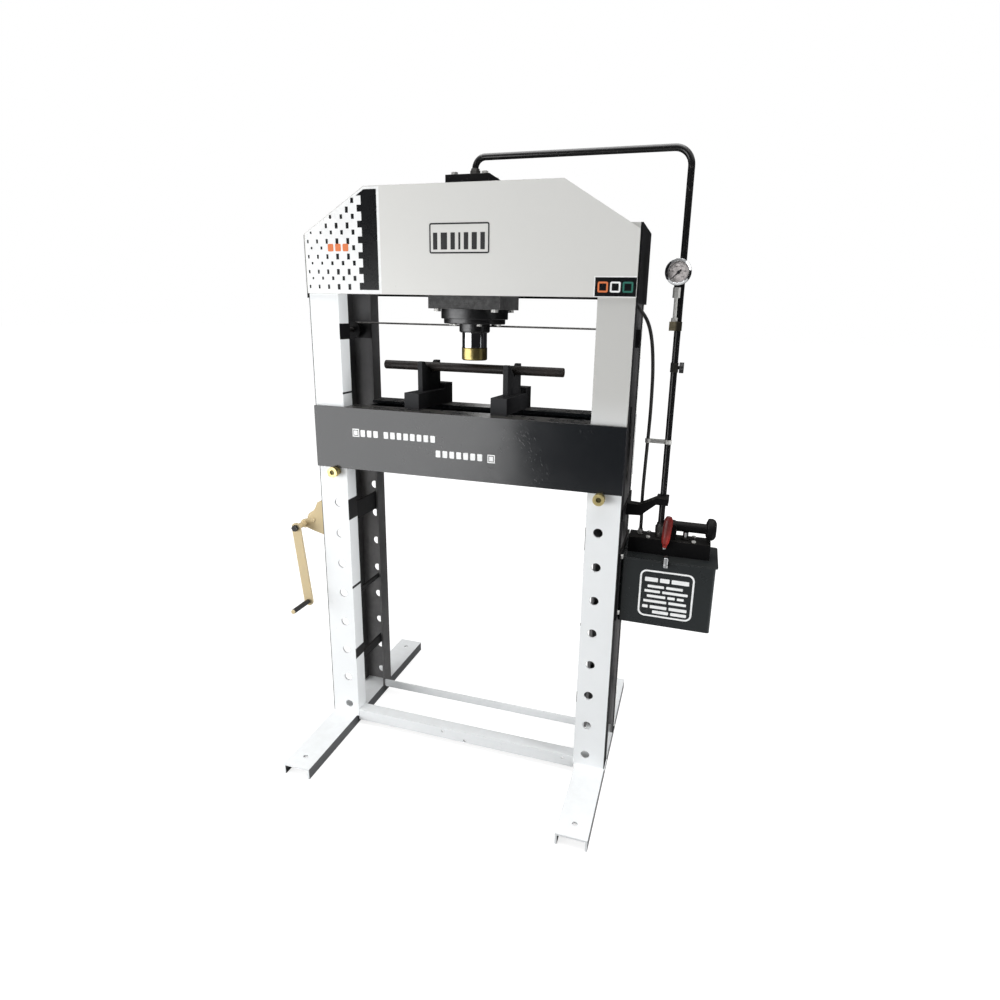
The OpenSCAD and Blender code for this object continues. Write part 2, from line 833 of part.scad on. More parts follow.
module rounded_box(length, depth, height, r) {
    linear_extrude(height) {
        translate([0, r]) square([length, depth - 2 * r]);
        translate([r, 0]) square([length - 2 * r, depth]);
        for (x = [r, length - r]) for (y = [r, depth - r]) translate([x, y]) circle(r = r);
    }
}

module tank() {
    color(black_paint) translate([tank_x, tank_y - tank_depth / 2, tank_bottom]) difference() {
        rounded_box(tank_length, tank_depth, tank_height, 8);
        translate([tank_wall, tank_wall, tank_wall])
            rounded_box(tank_length - 2 * tank_wall, tank_depth - 2 * tank_wall, tank_height, 5);
    }
}

module tank_lid() {
    color(black_paint) translate([tank_x, tank_y - tank_depth / 2, lid_top - tank_lid_wall])
        rounded_box(tank_length + lid_lip, tank_depth + lid_lip, tank_lid_wall, 8);
}

module bracket_bolts() {
    winch_y = -half_d + channel_leg / 2;
    color(steel) {
        for (y = tank_bolt_y) for (z = tank_bolt_z) {
            x_rod(y, z, 4, half_w, half_w + tank_plate_wall);
            translate([half_w + tank_plate_wall, y, z]) rotate([0, 90, 0])
                cylinder(r = 7.5, h = 5.5, $fn = 6);
        }
        for (z = winch_bolt_z) {
            x_rod(winch_y, z, 4, -half_w - winch_base, -half_w);
            translate([-half_w - winch_base, winch_y, z]) rotate([0, -90, 0])
                cylinder(r = 7.5, h = 5.5, $fn = 6);
        }
        for (x = [pump_x + 56, pump_x + 187]) for (y = [-22, 22])
            translate([x, tank_y + y, pump_top]) cylinder(r = 6, h = 5, $fn = 6);
    }
}

module pump_block() {
    ear_y = lever_radius + ear_gap;
    centre = tank_y;
    color(black_paint) difference() {
        union() {
            translate([pump_x, centre - pump_depth / 2, lid_top])
                cube([pump_length, pump_depth, pump_height]);
            for (side = [-1, 1]) {
                y0 = centre + (side > 0 ? ear_y : -ear_y - ear_wall);
                translate([lever_x - 11, y0, pump_top - 1])
                    cube([22, ear_wall, lever_z - pump_top + 1]);
                y_rod(lever_x, lever_z, 11, y0, y0 + ear_wall);
            }
            translate([plunger_x, centre, pump_top - 1])
                cylinder(r = plunger_radius + 6, h = 6);
            y_rod(valve_x, valve_z, 9, centre - pump_depth / 2 - 6, centre - pump_depth / 2 + 1);
        }
        translate([plunger_x, centre, lid_top + 12])
            cylinder(r = plunger_radius + running, h = pump_height + 20);
        y_rod(valve_x, valve_z, 4 + running, valve_y - 12, centre - pump_depth / 2 + 22);
        y_rod(lever_x, lever_z, pivot_radius + running, centre - pump_depth, centre + pump_depth);
    }
}

module pump_plunger() {
    color(chrome) translate([plunger_x, tank_y, lid_top + 14])
        cylinder(r = plunger_radius, h = plunger_top - lid_top - 14);
}

// The lever's tube, with its pivot pin and the round end that takes the hand.
module pump_lever() {
    centre = tank_y;
    ear_y = lever_radius + ear_gap;
    end = lever_x - 12 + lever_length;
    color(black_paint) union() {
        x_rod(centre, lever_z, lever_radius, lever_x - 12, end);
        y_rod(lever_x, lever_z, pivot_radius, centre - ear_y - ear_wall - 1,
            centre + ear_y + ear_wall + 1);
        translate([end, centre, lever_z]) rotate([0, 90, 0]) rotate_extrude($fn = 64)
            polygon([
                [0, -4], [lever_radius + 4, -4], [lever_knob_radius - 1, 1],
                [lever_knob_radius, 6], [lever_knob_radius, 14], [lever_knob_radius - 4, 21],
                [lever_knob_radius - 12, 25], [0, 26]
            ]);
    }
}

// The release valve's red handle on its chromed stem.
module release_handle() {
    front = tank_y - pump_depth / 2 - 6;
    color(red_plastic) union() {
        y_rod(valve_x, valve_z, 4, valve_y - 6, front + 20);
        translate([valve_x, valve_y, valve_z]) rotate([0, 4, 0]) rotate_extrude($fn = 48)
            polygon([
                [0, -6], [5, -6], [6.5, 2], [10, 9], [12, 24], [13, 64], [12, 80], [8, 89],
                [0, 92]
            ]);
    }
}

// ---- winch ----
winch_bottom = drum_z - 46.5;
winch_height = 118;
winch_bolt_z = [winch_bottom + 12, winch_bottom + winch_height - 11];

module winch_side_outline() {
    x0 = -half_w - winch_base;
    top = winch_bottom + winch_height;
    polygon([
        [x0, winch_bottom], [x0, top], [x0 - 15, top - 8], [x0 - 26, top - 31],
        [drum_x - 12, drum_z + 17], [crank_x + 6, crank_z + 14], [crank_x, crank_z],
        [crank_x + 8, crank_z - 13], [drum_x + 2, winch_bottom + 8]
    ]);
    translate([crank_x, crank_z]) circle(r = 15, $fn = 64);
}

module winch_frame() {
    winch_y = -half_d + channel_leg / 2;
    color(zinc_gold) difference() {
        union() {
            translate([-half_w - winch_base, winch_front, winch_bottom])
                cube([winch_base, winch_rear - winch_front, winch_height]);
            slab_xz(winch_front, winch_front + winch_wall) winch_side_outline();
            slab_xz(winch_rear - winch_wall, winch_rear) winch_side_outline();
        }
        y_rod(drum_x, drum_z, shaft_radius + running, winch_front - through, winch_rear + through);
        y_rod(crank_x, crank_z, crank_shaft_radius + running, winch_front - through,
            winch_rear + through);
        for (z = winch_bolt_z)
            x_rod(winch_y, z, 4 + bolt_play, -half_w - winch_base - through, -half_w + through);
    }
}

// A spur gear with stub teeth in the X-Z plane; phase turns it by a share of one tooth.
module gear_outline(teeth, phase) {
    pitch_r = gear_module * teeth / 2;
    tip = pitch_r + 0.6 * gear_module;
    root = pitch_r - 0.8 * gear_module;
    pitch_a = 360 / teeth;
    polygon([
        for (k = [0:teeth - 1]) let (a = (k + phase) * pitch_a) each [
            root * [cos(a - 0.27 * pitch_a), sin(a - 0.27 * pitch_a)],
            tip * [cos(a - 0.12 * pitch_a), sin(a - 0.12 * pitch_a)],
            tip * [cos(a + 0.12 * pitch_a), sin(a + 0.12 * pitch_a)],
            root * [cos(a + 0.27 * pitch_a), sin(a + 0.27 * pitch_a)]
        ]
    ]);
}

mesh_angle = atan2(crank_rise, crank_x - drum_x);
gear_front = winch_front + winch_wall + 1;

module winch_drum() {
    drum_start = gear_front + gear_width + 1;
    drum_end = winch_rear - winch_wall - 2;
    color(zinc_gold) union() {
        slab_xz(gear_front, gear_front + gear_width) translate([drum_x, drum_z])
            rotate([0, 0, mesh_angle]) gear_outline(drum_teeth, 0);
        y_rod(drum_x, drum_z, shaft_radius, winch_front - 4, winch_rear + 4);
        y_rod(drum_x, drum_z, drum_radius, gear_front, drum_end);
        y_rod(drum_x, drum_z, drum_flange_radius, drum_start, drum_start + 2);
        y_rod(drum_x, drum_z, drum_flange_radius, drum_end - 2, drum_end);
    }
}

// The turns of rope on the drum, as one sleeve.
module rope_coil() {
    start = drop_start_y - 18.5;
    end = winch_rear - winch_wall - 5;
    color(rubber) difference() {
        y_rod(drum_x, drum_z, drum_radius + rope_diameter, start, end);
        y_rod(drum_x, drum_z, drum_radius, start - through, end + through);
    }
}

module crank_shaft() {
    color(zinc_gold) union() {
        y_rod(crank_x, crank_z, crank_shaft_radius, crank_y - 2, winch_rear + 4);
        slab_xz(gear_front, gear_front + gear_width) translate([crank_x, crank_z])
            rotate([0, 0, mesh_angle + 180]) gear_outline(pinion_teeth, 0.5);
        y_rod(crank_x, crank_z, 9, crank_y + crank_wall, winch_front - 1);
        translate([crank_x, crank_y, crank_z]) rotate([90, 0, 0])
            cylinder(r = 11, h = 10, $fn = 6);
    }
}

module crank_arm() {
    grip_z = crank_z - crank_length;
    r = crank_width / 2;
    color(zinc_gold) translate([crank_x, 0, crank_z]) rotate([0, -crank_lean, 0])
        translate([-crank_x, 0, -crank_z]) difference() {
            union() {
                translate([crank_x - r, crank_y, grip_z])
                    cube([crank_width, crank_wall, crank_length]);
                y_rod(crank_x, crank_z, r, crank_y, crank_y + crank_wall);
                y_rod(crank_x, grip_z, r, crank_y, crank_y + crank_wall);
                y_rod(crank_x, grip_z, spindle_radius, crank_y - grip_length - 3, crank_y);
                y_rod(crank_x, grip_z, spindle_radius + 3, crank_y - grip_length - 5,
                    crank_y - grip_length - 2);
            }
            y_rod(crank_x, crank_z, crank_shaft_radius, crank_y - through,
                crank_y + crank_wall + through);
        }
}

module crank_grip() {
    grip_z = crank_z - crank_length;
    color(zinc_gold) translate([crank_x, 0, crank_z]) rotate([0, -crank_lean, 0])
        translate([0, crank_y - grip_length - 1, grip_z - crank_z]) rotate([-90, 0, 0])
            rotate_extrude($fn = 48) polygon([
                [spindle_radius + running, 0], [grip_radius - 1.5, 0], [grip_radius, 2],
                [grip_radius, grip_length - 2], [grip_radius - 1.5, grip_length],
                [spindle_radius + running, grip_length]
            ]);
}

// ---- sheaves and ropes ----
module sheave_plates() {
    color(black_paint) for (side = [0, 1]) mirror([side, 0, 0])
        for (y = [-gap_half, gap_half - bracket_wall]) difference() {
            translate([upright_inner, y, sheave_z - bracket_height / 2])
                cube([channel_width, bracket_wall, bracket_height]);
            y_rod(sheave_x, sheave_z, axle_radius, y - through, y + bracket_wall + through);
        }
}

module sheave_axles() {
    color(steel) for (side = [0, 1]) mirror([side, 0, 0])
        y_rod(sheave_x, sheave_z, axle_radius, -gap_half, gap_half);
}

// A grooved sheave on an axle along Y.
module sheave(x, y) {
    half = sheave_width / 2;
    groove = rope_diameter / 2 + 0.4;
    color(steel) translate([x, y, sheave_z]) rotate([-90, 0, 0])
        rotate_extrude($fn = 96) difference() {
            polygon([
                [axle_radius + running, -half], [sheave_rim, -half], [sheave_rim, half],
                [axle_radius + running, half]
            ]);
            translate([sheave_radius, 0]) circle(r = groove);
            translate([sheave_radius, -groove]) square([10, 2 * groove]);
        }
}

module sheaves_left() {
    sheave(-sheave_x, drop_y);
    sheave(-sheave_x, across_y);
}

module sheave_right() {
    sheave(sheave_x, across_y);
}

// Points over a sheave at (x, y), from angle a0 down to angle a1.
function over_sheave(x, y, a0, a1) = [
    for (a = [a0:-15:a1]) [x + sheave_radius * cos(a), y, sheave_z + sheave_radius * sin(a)]
];
// Points up from the drum, into the plane y of a left sheave.
function up_from_drum(y0, y) = [
    [drum_x + coil_radius, y0, drum_z + drum_radius + 2],
    [-sheave_x - sheave_radius, y, sheave_z - sheave_rim - 2]
];

module rope_runs() {
    across = concat(up_from_drum(across_start_y, across_y),
        over_sheave(-sheave_x, across_y, 180, 90), over_sheave(sheave_x, across_y, 90, 0),
        [[drop_right_x, across_y, drop_top]]);
    left = concat(up_from_drum(drop_start_y, drop_y), over_sheave(-sheave_x, drop_y, 180, 0),
        [[drop_left_x, drop_y, drop_top]]);
    color(rubber) {
        tube_along(across, rope_diameter / 2, rope_sides);
        tube_along(left, rope_diameter / 2, rope_sides);
    }
}

// The two hanging ends, from the sheaves down to the ferrules on the lugs.
module rope_drops() {
    color(rubber) for (p = [[drop_left_x, drop_y], [drop_right_x, across_y]])
        translate([p[0], p[1], lug_top + ferrule_height])
            cylinder(d = rope_diameter, h = drop_top - touch - lug_top - ferrule_height);
}

// ---- table ----
// The front table channel: full width at its face, flanged only between the uprights.
module table_channel() {
    bottom = table_bottom;
    color(grey_paint) union() {
        translate([-half_w, -table_face - table_web, bottom])
            cube([frame_width, table_web, table_height]);
        for (z = [bottom, bottom + table_height - table_flange])
            translate([-table_flange_x, -table_face, z])
                cube([2 * table_flange_x, table_leg - table_web, table_flange]);
    }
}

module table_front() {
    table_channel();
}

module table_rear() {
    mirror([0, 1, 0]) table_channel();
}

module table_spacers() {
    h = table_height - 2 * table_flange;
    color(grey_paint) for (x = [-spacer_x - spacer_wall, spacer_x])
        translate([x, -table_face, table_bottom + table_flange]) cube([spacer_wall, 2 * table_face, h]);
}

// A lug on the spacer's outer face: it reaches into the open upright, up to the rope's ferrule.
module lug(x_rope, y) {
    outer = spacer_x + spacer_wall;
    reach = x_rope + 10;
    z0 = table_bottom + table_flange + 20;
    arm_z = table_top - 60;
    slab_xz(y - lug_wall / 2, y + lug_wall / 2) polygon([
        [outer, z0], [reach, arm_z], [reach, lug_top], [x_rope - 10, lug_top],
        [x_rope - 10, table_top - 16], [outer, table_top - 16]
    ]);
    translate([x_rope, y, lug_top - 1]) cylinder(r = 6, h = ferrule_height + 1);
}

module lifting_lugs() {
    color(black_paint) {
        mirror([1, 0, 0]) lug(-drop_left_x, drop_y);
        lug(drop_right_x, across_y);
    }
}

module table_pin() {
    front = -table_face - table_web - 2;
    head_length = 16;
    color(brass) difference() {
        union() {
            y_rod(0, pin_z, pin_diameter / 2, front, half_d + 12);
            y_rod(0, pin_z, pin_diameter / 2 + 3.5, front - head_length, front);
        }
        y_rod(0, pin_z, 8, front - head_length - through, front - head_length + 4);
    }
}

module table_pin_left() {
    translate([-pin_x, 0, 0]) table_pin();
}

module table_pin_right() {
    translate([pin_x, 0, 0]) table_pin();
}

// ---- work pieces ----
// A V-block with its base's centre at the origin; the bar lies across it, along X.
module v_block() {
    apex = bar_z - table_top - bar_diameter / 2 * sqrt(2) - notch_drop;
    reach = block_height - apex + 1;
    difference() {
        union() {
            translate([-block_width / 2, -block_depth / 2, 0])
                cube([block_width, block_depth, block_base_height]);
            translate([-block_width / 2, web_offset + block_web_depth / 2, 0])
                cube([block_width, (block_depth - block_web_depth) / 2 - web_offset,
                    block_base_height + block_step]);
            translate([-block_web / 2, web_offset - block_web_depth / 2, 0])
                cube([block_web, block_web_depth, block_height]);
        }
        translate([-block_web, web_offset, apex]) rotate([90, 0, 90]) linear_extrude(2 * block_web)
            polygon([[0, 0], [reach, reach], [-reach, reach]]);
    }
}

module v_blocks() {
    color(black_paint) {
        translate([block_left[0], block_left[1], table_top]) rotate([0, 0, block_turn_left])
            v_block();
        translate([block_right[0], block_right[1], table_top]) rotate([0, 0, block_turn_right])
            v_block();
    }
}

module round_bar() {
    chamfer = 1.5;
    r = bar_diameter / 2;
    color([0.30, 0.27, 0.26]) translate([bar_centre_x - bar_length / 2, bar_y, bar_z])
        rotate([0, 90, 0]) rotate_extrude($fn = 64) polygon([
            [0, 0], [r - chamfer, 0], [r, chamfer], [r, bar_length - chamfer],
            [r - chamfer, bar_length], [0, bar_length]
        ]);
}

feet();
uprights_front();
uprights_rear();
upright_ties();
front_rail();
rear_rail();
head_front_plate();
head_rear_plate();
head_sides();
head_stiffeners();
cylinder_mount_plate();
cylinder_bolts();
cylinder_barrel();
cylinder_flange();
gland();
cylinder_cap();
ram();
ram_tip();
pipe_fittings();
pressure_pipe();
pipe_blocks();
gauge_stem();
gauge_case();
gauge_bezel();
gauge_dial();
gauge_glass();
gauge_needle();
shutoff_knob();
pipe_bracket();
return_hose();
hose_fittings();
hose_clip();
tank_plate();
tank();
tank_lid();
bracket_bolts();
pump_block();
pump_plunger();
pump_lever();
release_handle();
winch_frame();
winch_drum();
crank_shaft();
crank_arm();
crank_grip();
sheave_plates();
sheave_axles();
sheaves_left();
sheave_right();
rope_coil();
rope_runs();
rope_drops();
table_front();
table_rear();
table_spacers();
lifting_lugs();
table_pin_left();
table_pin_right();
v_blocks();
round_bar();
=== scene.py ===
"""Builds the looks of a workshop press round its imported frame: finishes, prints, ropes and hose."""

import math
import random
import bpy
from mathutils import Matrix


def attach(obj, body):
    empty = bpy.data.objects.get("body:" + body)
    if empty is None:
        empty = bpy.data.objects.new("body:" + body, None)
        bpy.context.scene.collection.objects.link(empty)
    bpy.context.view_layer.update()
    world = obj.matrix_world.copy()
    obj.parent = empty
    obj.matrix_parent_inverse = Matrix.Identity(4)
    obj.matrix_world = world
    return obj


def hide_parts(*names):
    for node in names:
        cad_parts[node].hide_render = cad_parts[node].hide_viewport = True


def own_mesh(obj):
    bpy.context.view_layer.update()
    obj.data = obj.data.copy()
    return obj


bl_info = {
    "name": "Workshop Press Looks",
    "version": (1, 0, 0),
    "blender": (4, 5, 0),
    "location": "3D View > Sidebar > Press",
    "description": "Finishes and fine pieces of a welded H-frame hydraulic press",
    "category": "Object",
}

import bmesh
import bpy
from bpy.props import FloatProperty, FloatVectorProperty, IntProperty, PointerProperty
from mathutils import Matrix, Vector

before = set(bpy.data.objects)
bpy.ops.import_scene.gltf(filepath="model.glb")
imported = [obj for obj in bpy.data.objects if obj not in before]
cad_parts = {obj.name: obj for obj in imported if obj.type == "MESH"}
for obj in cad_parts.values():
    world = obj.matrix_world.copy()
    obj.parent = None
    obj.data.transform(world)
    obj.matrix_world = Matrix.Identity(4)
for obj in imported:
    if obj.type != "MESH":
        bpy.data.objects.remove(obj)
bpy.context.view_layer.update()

MM = 0.001
FULL_TURN = 2 * math.pi
MERGE = 1e-6
UP = (0.0, 0.0, 1.0)
ACROSS = (1.0, 0.0, 0.0)
REARWARD = (0.0, 1.0, 0.0)
FORWARD = (0.0, -1.0, 0.0)


# ---- sizes and colours that a user may change ----
def colour_choice(name, description, default):
    return FloatVectorProperty(
        name=name, description=description, subtype="COLOR", size=3, min=0.0, max=1.0, default=default
    )


def length_choice(name, description, default):
    return FloatProperty(
        name=name, description=description, subtype="DISTANCE", unit="LENGTH", min=0.0, default=default
    )


def angle_choice(name, description, degrees):
    return FloatProperty(
        name=name, description=description, subtype="ANGLE", unit="ROTATION", default=math.radians(degrees)
    )


def power_choice(name, description, watts):
    return FloatProperty(name=name, description=description, unit="POWER", default=watts)


class PressColours(bpy.types.PropertyGroup):
    """Paint and metal colours of the press."""

    frame_white: colour_choice("Frame white", "Paint on the uprights' fronts and feet", (0.80, 0.82, 0.83))
    head_grey: colour_choice("Head paint", "Warm light grey on the head's front", (0.66, 0.66, 0.64))
    print_white: colour_choice("Print white", "White of the printed marks", (0.86, 0.87, 0.87))
    frame_black: colour_choice("Frame black", "Paint on sides and steelwork", (0.0065, 0.0065, 0.0070))
    rear_black: colour_choice("Rear upright", "Dusty black in the rear uprights", (0.105, 0.104, 0.105))
    table_black: colour_choice("Table paint", "Gloss charcoal enamel", (0.0105, 0.0120, 0.0140))
    tank_black: colour_choice("Tank paint", "Blue-black enamel on the oil tank", (0.0155, 0.0185, 0.0195))
    zinc_yellow: colour_choice("Yellow zinc", "Plating on the winch", (0.50, 0.405, 0.245))
    brass: colour_choice("Brass", "Turned brass of the ram's tip", (0.60, 0.50, 0.20))
    lever_red: colour_choice("Release red", "Plastic of the release handle", (0.24, 0.020, 0.016))
    dial_grey: colour_choice("Dial", "Face of the pressure gauge", (0.86, 0.80, 0.79))
    mark_orange: colour_choice("Mark orange", "Orange of the printed marks", (0.72, 0.20, 0.07))
    mark_green: colour_choice("Mark green", "Green of the printed marks", (0.03, 0.16, 0.12))


class PressSizes(bpy.types.PropertyGroup):
    """Sizes of the fine pieces that the frame doesn't carry."""

    rope_radius: length_choice("Rope radius", "Half the lifting rope's diameter", 0.003)
    rope_lay: length_choice("Rope lay", "Length over which a strand goes once round the rope", 0.036)
    hose_radius: length_choice("Hose radius", "Half the return hose's diameter", 0.005)
    film: length_choice("Print thickness", "Thickness of one printed coat", 0.00015)
    row_pitch: length_choice("Block rows", "Distance between two rows of printed blocks", 0.0421)
    bead: length_choice("Weld bead", "Half the width of a weld bead", 0.0024)
    dial_ticks: IntProperty(
        name="Dial ticks", description="Fine divisions round the dial", min=10, default=50
    )


class PressStage(bpy.types.PropertyGroup):
    """Camera, lamps and floor."""

    camera_place: FloatVectorProperty(
        name="Camera place", description="Where the camera stands", subtype="TRANSLATION",
        unit="LENGTH", size=3, default=(0.667, -1.800, 1.436),
    )
    camera_turn: angle_choice("Camera turn", "Turn of the view to the left of straight ahead", 16.38)
    camera_tilt: angle_choice("Camera tilt", "Tilt of the view below level", 14.84)
    camera_roll: angle_choice("Camera roll", "Roll of the camera round its view", 1.25)
    lens: FloatProperty(
        name="Lens", description="Focal length on a 36 mm sensor", unit="CAMERA", default=22.22
    )
    shift: FloatVectorProperty(
        name="Lens shift", description="Shift of the picture's middle", size=2, default=(-0.0153, -0.0235)
    )
    key_power: power_choice("Key lamp", "Power of the large softbox at the front left", 58.0)
    front_power: power_choice("Front lamp", "Power of the soft front lamp", 34.0)
    top_power: power_choice("Top lamp", "Power of the overhead softbox", 225.0)
    side_power: power_choice("Side lamp", "Power of the soft lamp at the right", 80.0)
    fill: FloatProperty(
        name="Fill", description="Brightness of the even light from all sides", subtype="FACTOR",
        min=0.0, max=1.0, default=0.07,
    )


# ---- node building ----
def socket_to(tree, target, value):
    """Links a socket, or sets a plain value."""
    if isinstance(value, bpy.types.NodeSocket):
        tree.links.new(value, target)
    else:
        target.default_value = value


def calc(tree, operation, first, second=None, clamp=False):
    made = tree.nodes.new("ShaderNodeMath")
    made.operation = operation
    made.use_clamp = clamp
    socket_to(tree, made.inputs[0], first)
    if second is not None:
        socket_to(tree, made.inputs[1], second)
    return made.outputs[0]


def vector_calc(tree, operation, first, second=None, output="Vector"):
    made = tree.nodes.new("ShaderNodeVectorMath")
    made.operation = operation
    socket_to(tree, made.inputs[0], first)
    if second is not None:
        socket_to(tree, made.inputs[1], second)
    return made.outputs[output]


def smooth_step(tree, value, low, high):
    made = tree.nodes.new("ShaderNodeMapRange")
    made.interpolation_type = "SMOOTHSTEP"
    socket_to(tree, made.inputs["Value"], value)
    socket_to(tree, made.inputs["From Min"], low)
    socket_to(tree, made.inputs["From Max"], high)
    return made.outputs["Result"]


def noise(tree, vector, scale, detail=2.0, roughness=0.5):
    made = tree.nodes.new("ShaderNodeTexNoise")
    socket_to(tree, made.inputs["Vector"], vector)
    socket_to(tree, made.inputs["Scale"], scale)
    made.inputs["Detail"].default_value = detail
    made.inputs["Roughness"].default_value = roughness
    return made.outputs[0]


def object_place(tree):
    return tree.nodes.new("ShaderNodeTexCoord").outputs["Object"]


def surface_normal(tree):
    return tree.nodes.new("ShaderNodeNewGeometry").outputs["Normal"]


def rounded_normal(tree, radius):
    bevel = tree.nodes.new("ShaderNodeBevel")
    bevel.samples = 4
    socket_to(tree, bevel.inputs["Radius"], radius)
    return bevel.outputs["Normal"]


def weighed(tree, first, share, second):
    """Two values added up, the first with that share and the second with the rest."""
    rest = calc(tree, "MULTIPLY", second, 1.0 - share)
    return calc(tree, "ADD", calc(tree, "MULTIPLY", first, share), rest)


def new_effect(name, inputs, *outputs):
    """An empty node group with named sockets; returns its tree, its inputs and its outputs."""
    number, vector = "NodeSocketFloat", "NodeSocketVector"
    tree = bpy.data.node_groups.new(name, "ShaderNodeTree")
    for label, default in inputs.items():
        kind = vector if isinstance(default, tuple) else number
        tree.interface.new_socket(label, in_out="INPUT", socket_type=kind).default_value = default
    for label in outputs:
        kind = vector if label == "Normal" else number
        tree.interface.new_socket(label, in_out="OUTPUT", socket_type=kind)
    return tree, tree.nodes.new("NodeGroupInput").outputs, tree.nodes.new("NodeGroupOutput").inputs


def edge_wear_effect():
    """Broken line of rubbed paint or brightened metal along the edges."""
    tree, given, result = new_effect("Edge Wear", {"Radius": 0.002, "Scale": 90.0, "Cover": 0.5}, "Mask")
    rounded = rounded_normal(tree, given["Radius"])
    turned_away = vector_calc(tree, "DOT_PRODUCT", rounded, surface_normal(tree), "Value")
    edge = calc(tree, "SUBTRACT", 1.0, turned_away)
    broken = noise(tree, object_place(tree), given["Scale"], detail=4.0, roughness=0.65)
    covered = calc(tree, "ADD", broken, calc(tree, "SUBTRACT", given["Cover"], 1.0))
    gain = calc(tree, "MULTIPLY", covered, 4.0, clamp=True)
    worn = smooth_step(tree, calc(tree, "MULTIPLY", edge, gain), low=0.02, high=0.16)
    tree.links.new(worn, result["Mask"])
    return tree


def round_edges_effect():
    """Normal that rounds the sharp edges of sawn and pressed steel."""
    tree, given, result = new_effect("Round Edges", {"Radius": 0.001}, "Normal")
    tree.links.new(rounded_normal(tree, given["Radius"]), result["Normal"])
    return tree


def tone_drift_effect():
    """Slow change of tone over a painted or rolled surface."""
    tree, given, result = new_effect("Tone Drift", {"Scale": 4.0}, "Factor")
    place = object_place(tree)
    broad = noise(tree, place, given["Scale"], detail=3.0, roughness=0.55)
    fine = noise(tree, place, calc(tree, "MULTIPLY", given["Scale"], 9.0), detail=3.0, roughness=0.6)
    both = weighed(tree, broad, 0.7, fine)
    tree.links.new(smooth_step(tree, both, low=0.36, high=0.64), result["Factor"])
    return tree


def paint_skin_effect():
    """Orange peel and the slow waves of sprayed enamel."""
    tree, given, result = new_effect(
        "Paint Skin", {"Peel": 0.00002, "Peel Scale": 320.0, "Wave": 0.0002, "Wave Scale": 7.0}, "Height"
    )
    place = object_place(tree)
    peel = calc(tree, "MULTIPLY", noise(tree, place, given["Peel Scale"], detail=1.0), given["Peel"])
    wave = calc(tree, "MULTIPLY", noise(tree, place, given["Wave Scale"], detail=1.0), given["Wave"])
    tree.links.new(calc(tree, "ADD", peel, wave), result["Height"])
    return tree


def machining_lines_effect():
    """Fine lines left by a lathe, a mill or a rolling stand, drawn out by the stretch."""
    tree, given, result = new_effect(
        "Machining Lines", {"Stretch": (1.0, 1.0, 1.0), "Depth": 0.00002}, "Factor", "Height"
    )
    place = vector_calc(tree, "MULTIPLY", object_place(tree), given["Stretch"])
    lines = noise(tree, place, 1.0, detail=3.0, roughness=0.7)
    tree.links.new(smooth_step(tree, lines, low=0.3, high=0.7), result["Factor"])
    tree.links.new(calc(tree, "MULTIPLY", lines, given["Depth"]), result["Height"])
    return tree


def settled_dust_effect():
    """Dust that lies on faces which look upwards."""
    tree, given, result = new_effect("Settled Dust", {"Cover": 0.5, "Scale": 30.0}, "Mask")
    upward = vector_calc(tree, "DOT_PRODUCT", surface_normal(tree), UP, "Value")
    drift = noise(tree, object_place(tree), given["Scale"], detail=4.0, roughness=0.65)
    patchy = smooth_step(tree, calc(tree, "ADD", drift, given["Cover"]), low=0.75, high=1.25)
    level = smooth_step(tree, upward, low=0.3, high=0.95)
    tree.links.new(calc(tree, "MULTIPLY", level, patchy), result["Mask"])
    return tree


def hair_scratches_effect():
    """Thin straight scuffs in loose patches."""
    tree, given, result = new_effect(
        "Hair Scratches",
        {"Stretch": (260.0, 260.0, 9.0), "Turn": (0.3, 0.6, 0.2), "Patch Scale": 9.0, "Cover": 0.3},
        "Mask",
    )
    turned_place = tree.nodes.new("ShaderNodeMapping")
    tree.links.new(object_place(tree), turned_place.inputs["Vector"])
    tree.links.new(given["Turn"], turned_place.inputs["Rotation"])
    drawn = vector_calc(tree, "MULTIPLY", turned_place.outputs["Vector"], given["Stretch"])
    thin = smooth_step(tree, noise(tree, drawn, 1.0, detail=2.0, roughness=0.6), low=0.62, high=0.70)
    loose = calc(tree, "ADD", noise(tree, object_place(tree), given["Patch Scale"]), given["Cover"])
    patch = smooth_step(tree, loose, low=0.80, high=1.0)
    tree.links.new(calc(tree, "MULTIPLY", thin, patch), result["Mask"])
    return tree


def steel_grain_effect():
    """Pits and grains of cast, scaled or flame-cut steel."""
    tree, given, result = new_effect("Steel Grain", {"Scale": 400.0, "Depth": 0.0001}, "Factor", "Height")
    place = object_place(tree)
    fine = noise(tree, place, given["Scale"], detail=5.0, roughness=0.7)
    coarse = noise(tree, place, calc(tree, "MULTIPLY", given["Scale"], 0.22), detail=2.0, roughness=0.5)
    both = weighed(tree, fine, 0.65, coarse)
    tree.links.new(smooth_step(tree, both, low=0.38, high=0.62), result["Factor"])
    tree.links.new(calc(tree, "MULTIPLY", both, given["Depth"]), result["Height"])
    return tree


def reach_effect(name="Reach", mirrored=False):
    """Smooth step from one distance along an axis to another."""
    tree, given, result = new_effect(name, {"Axis": UP, "From": 0.0, "To": 1.0}, "Mask")
    place = object_place(tree)
    if mirrored:
        place = vector_calc(tree, "ABSOLUTE", place)
    along = vector_calc(tree, "DOT_PRODUCT", place, given["Axis"], "Value")
    tree.links.new(smooth_step(tree, along, given["From"], given["To"]), result["Mask"])
    return tree


def band_effect():
    """The same step on both sides of the middle."""
    return reach_effect("Band", mirrored=True)


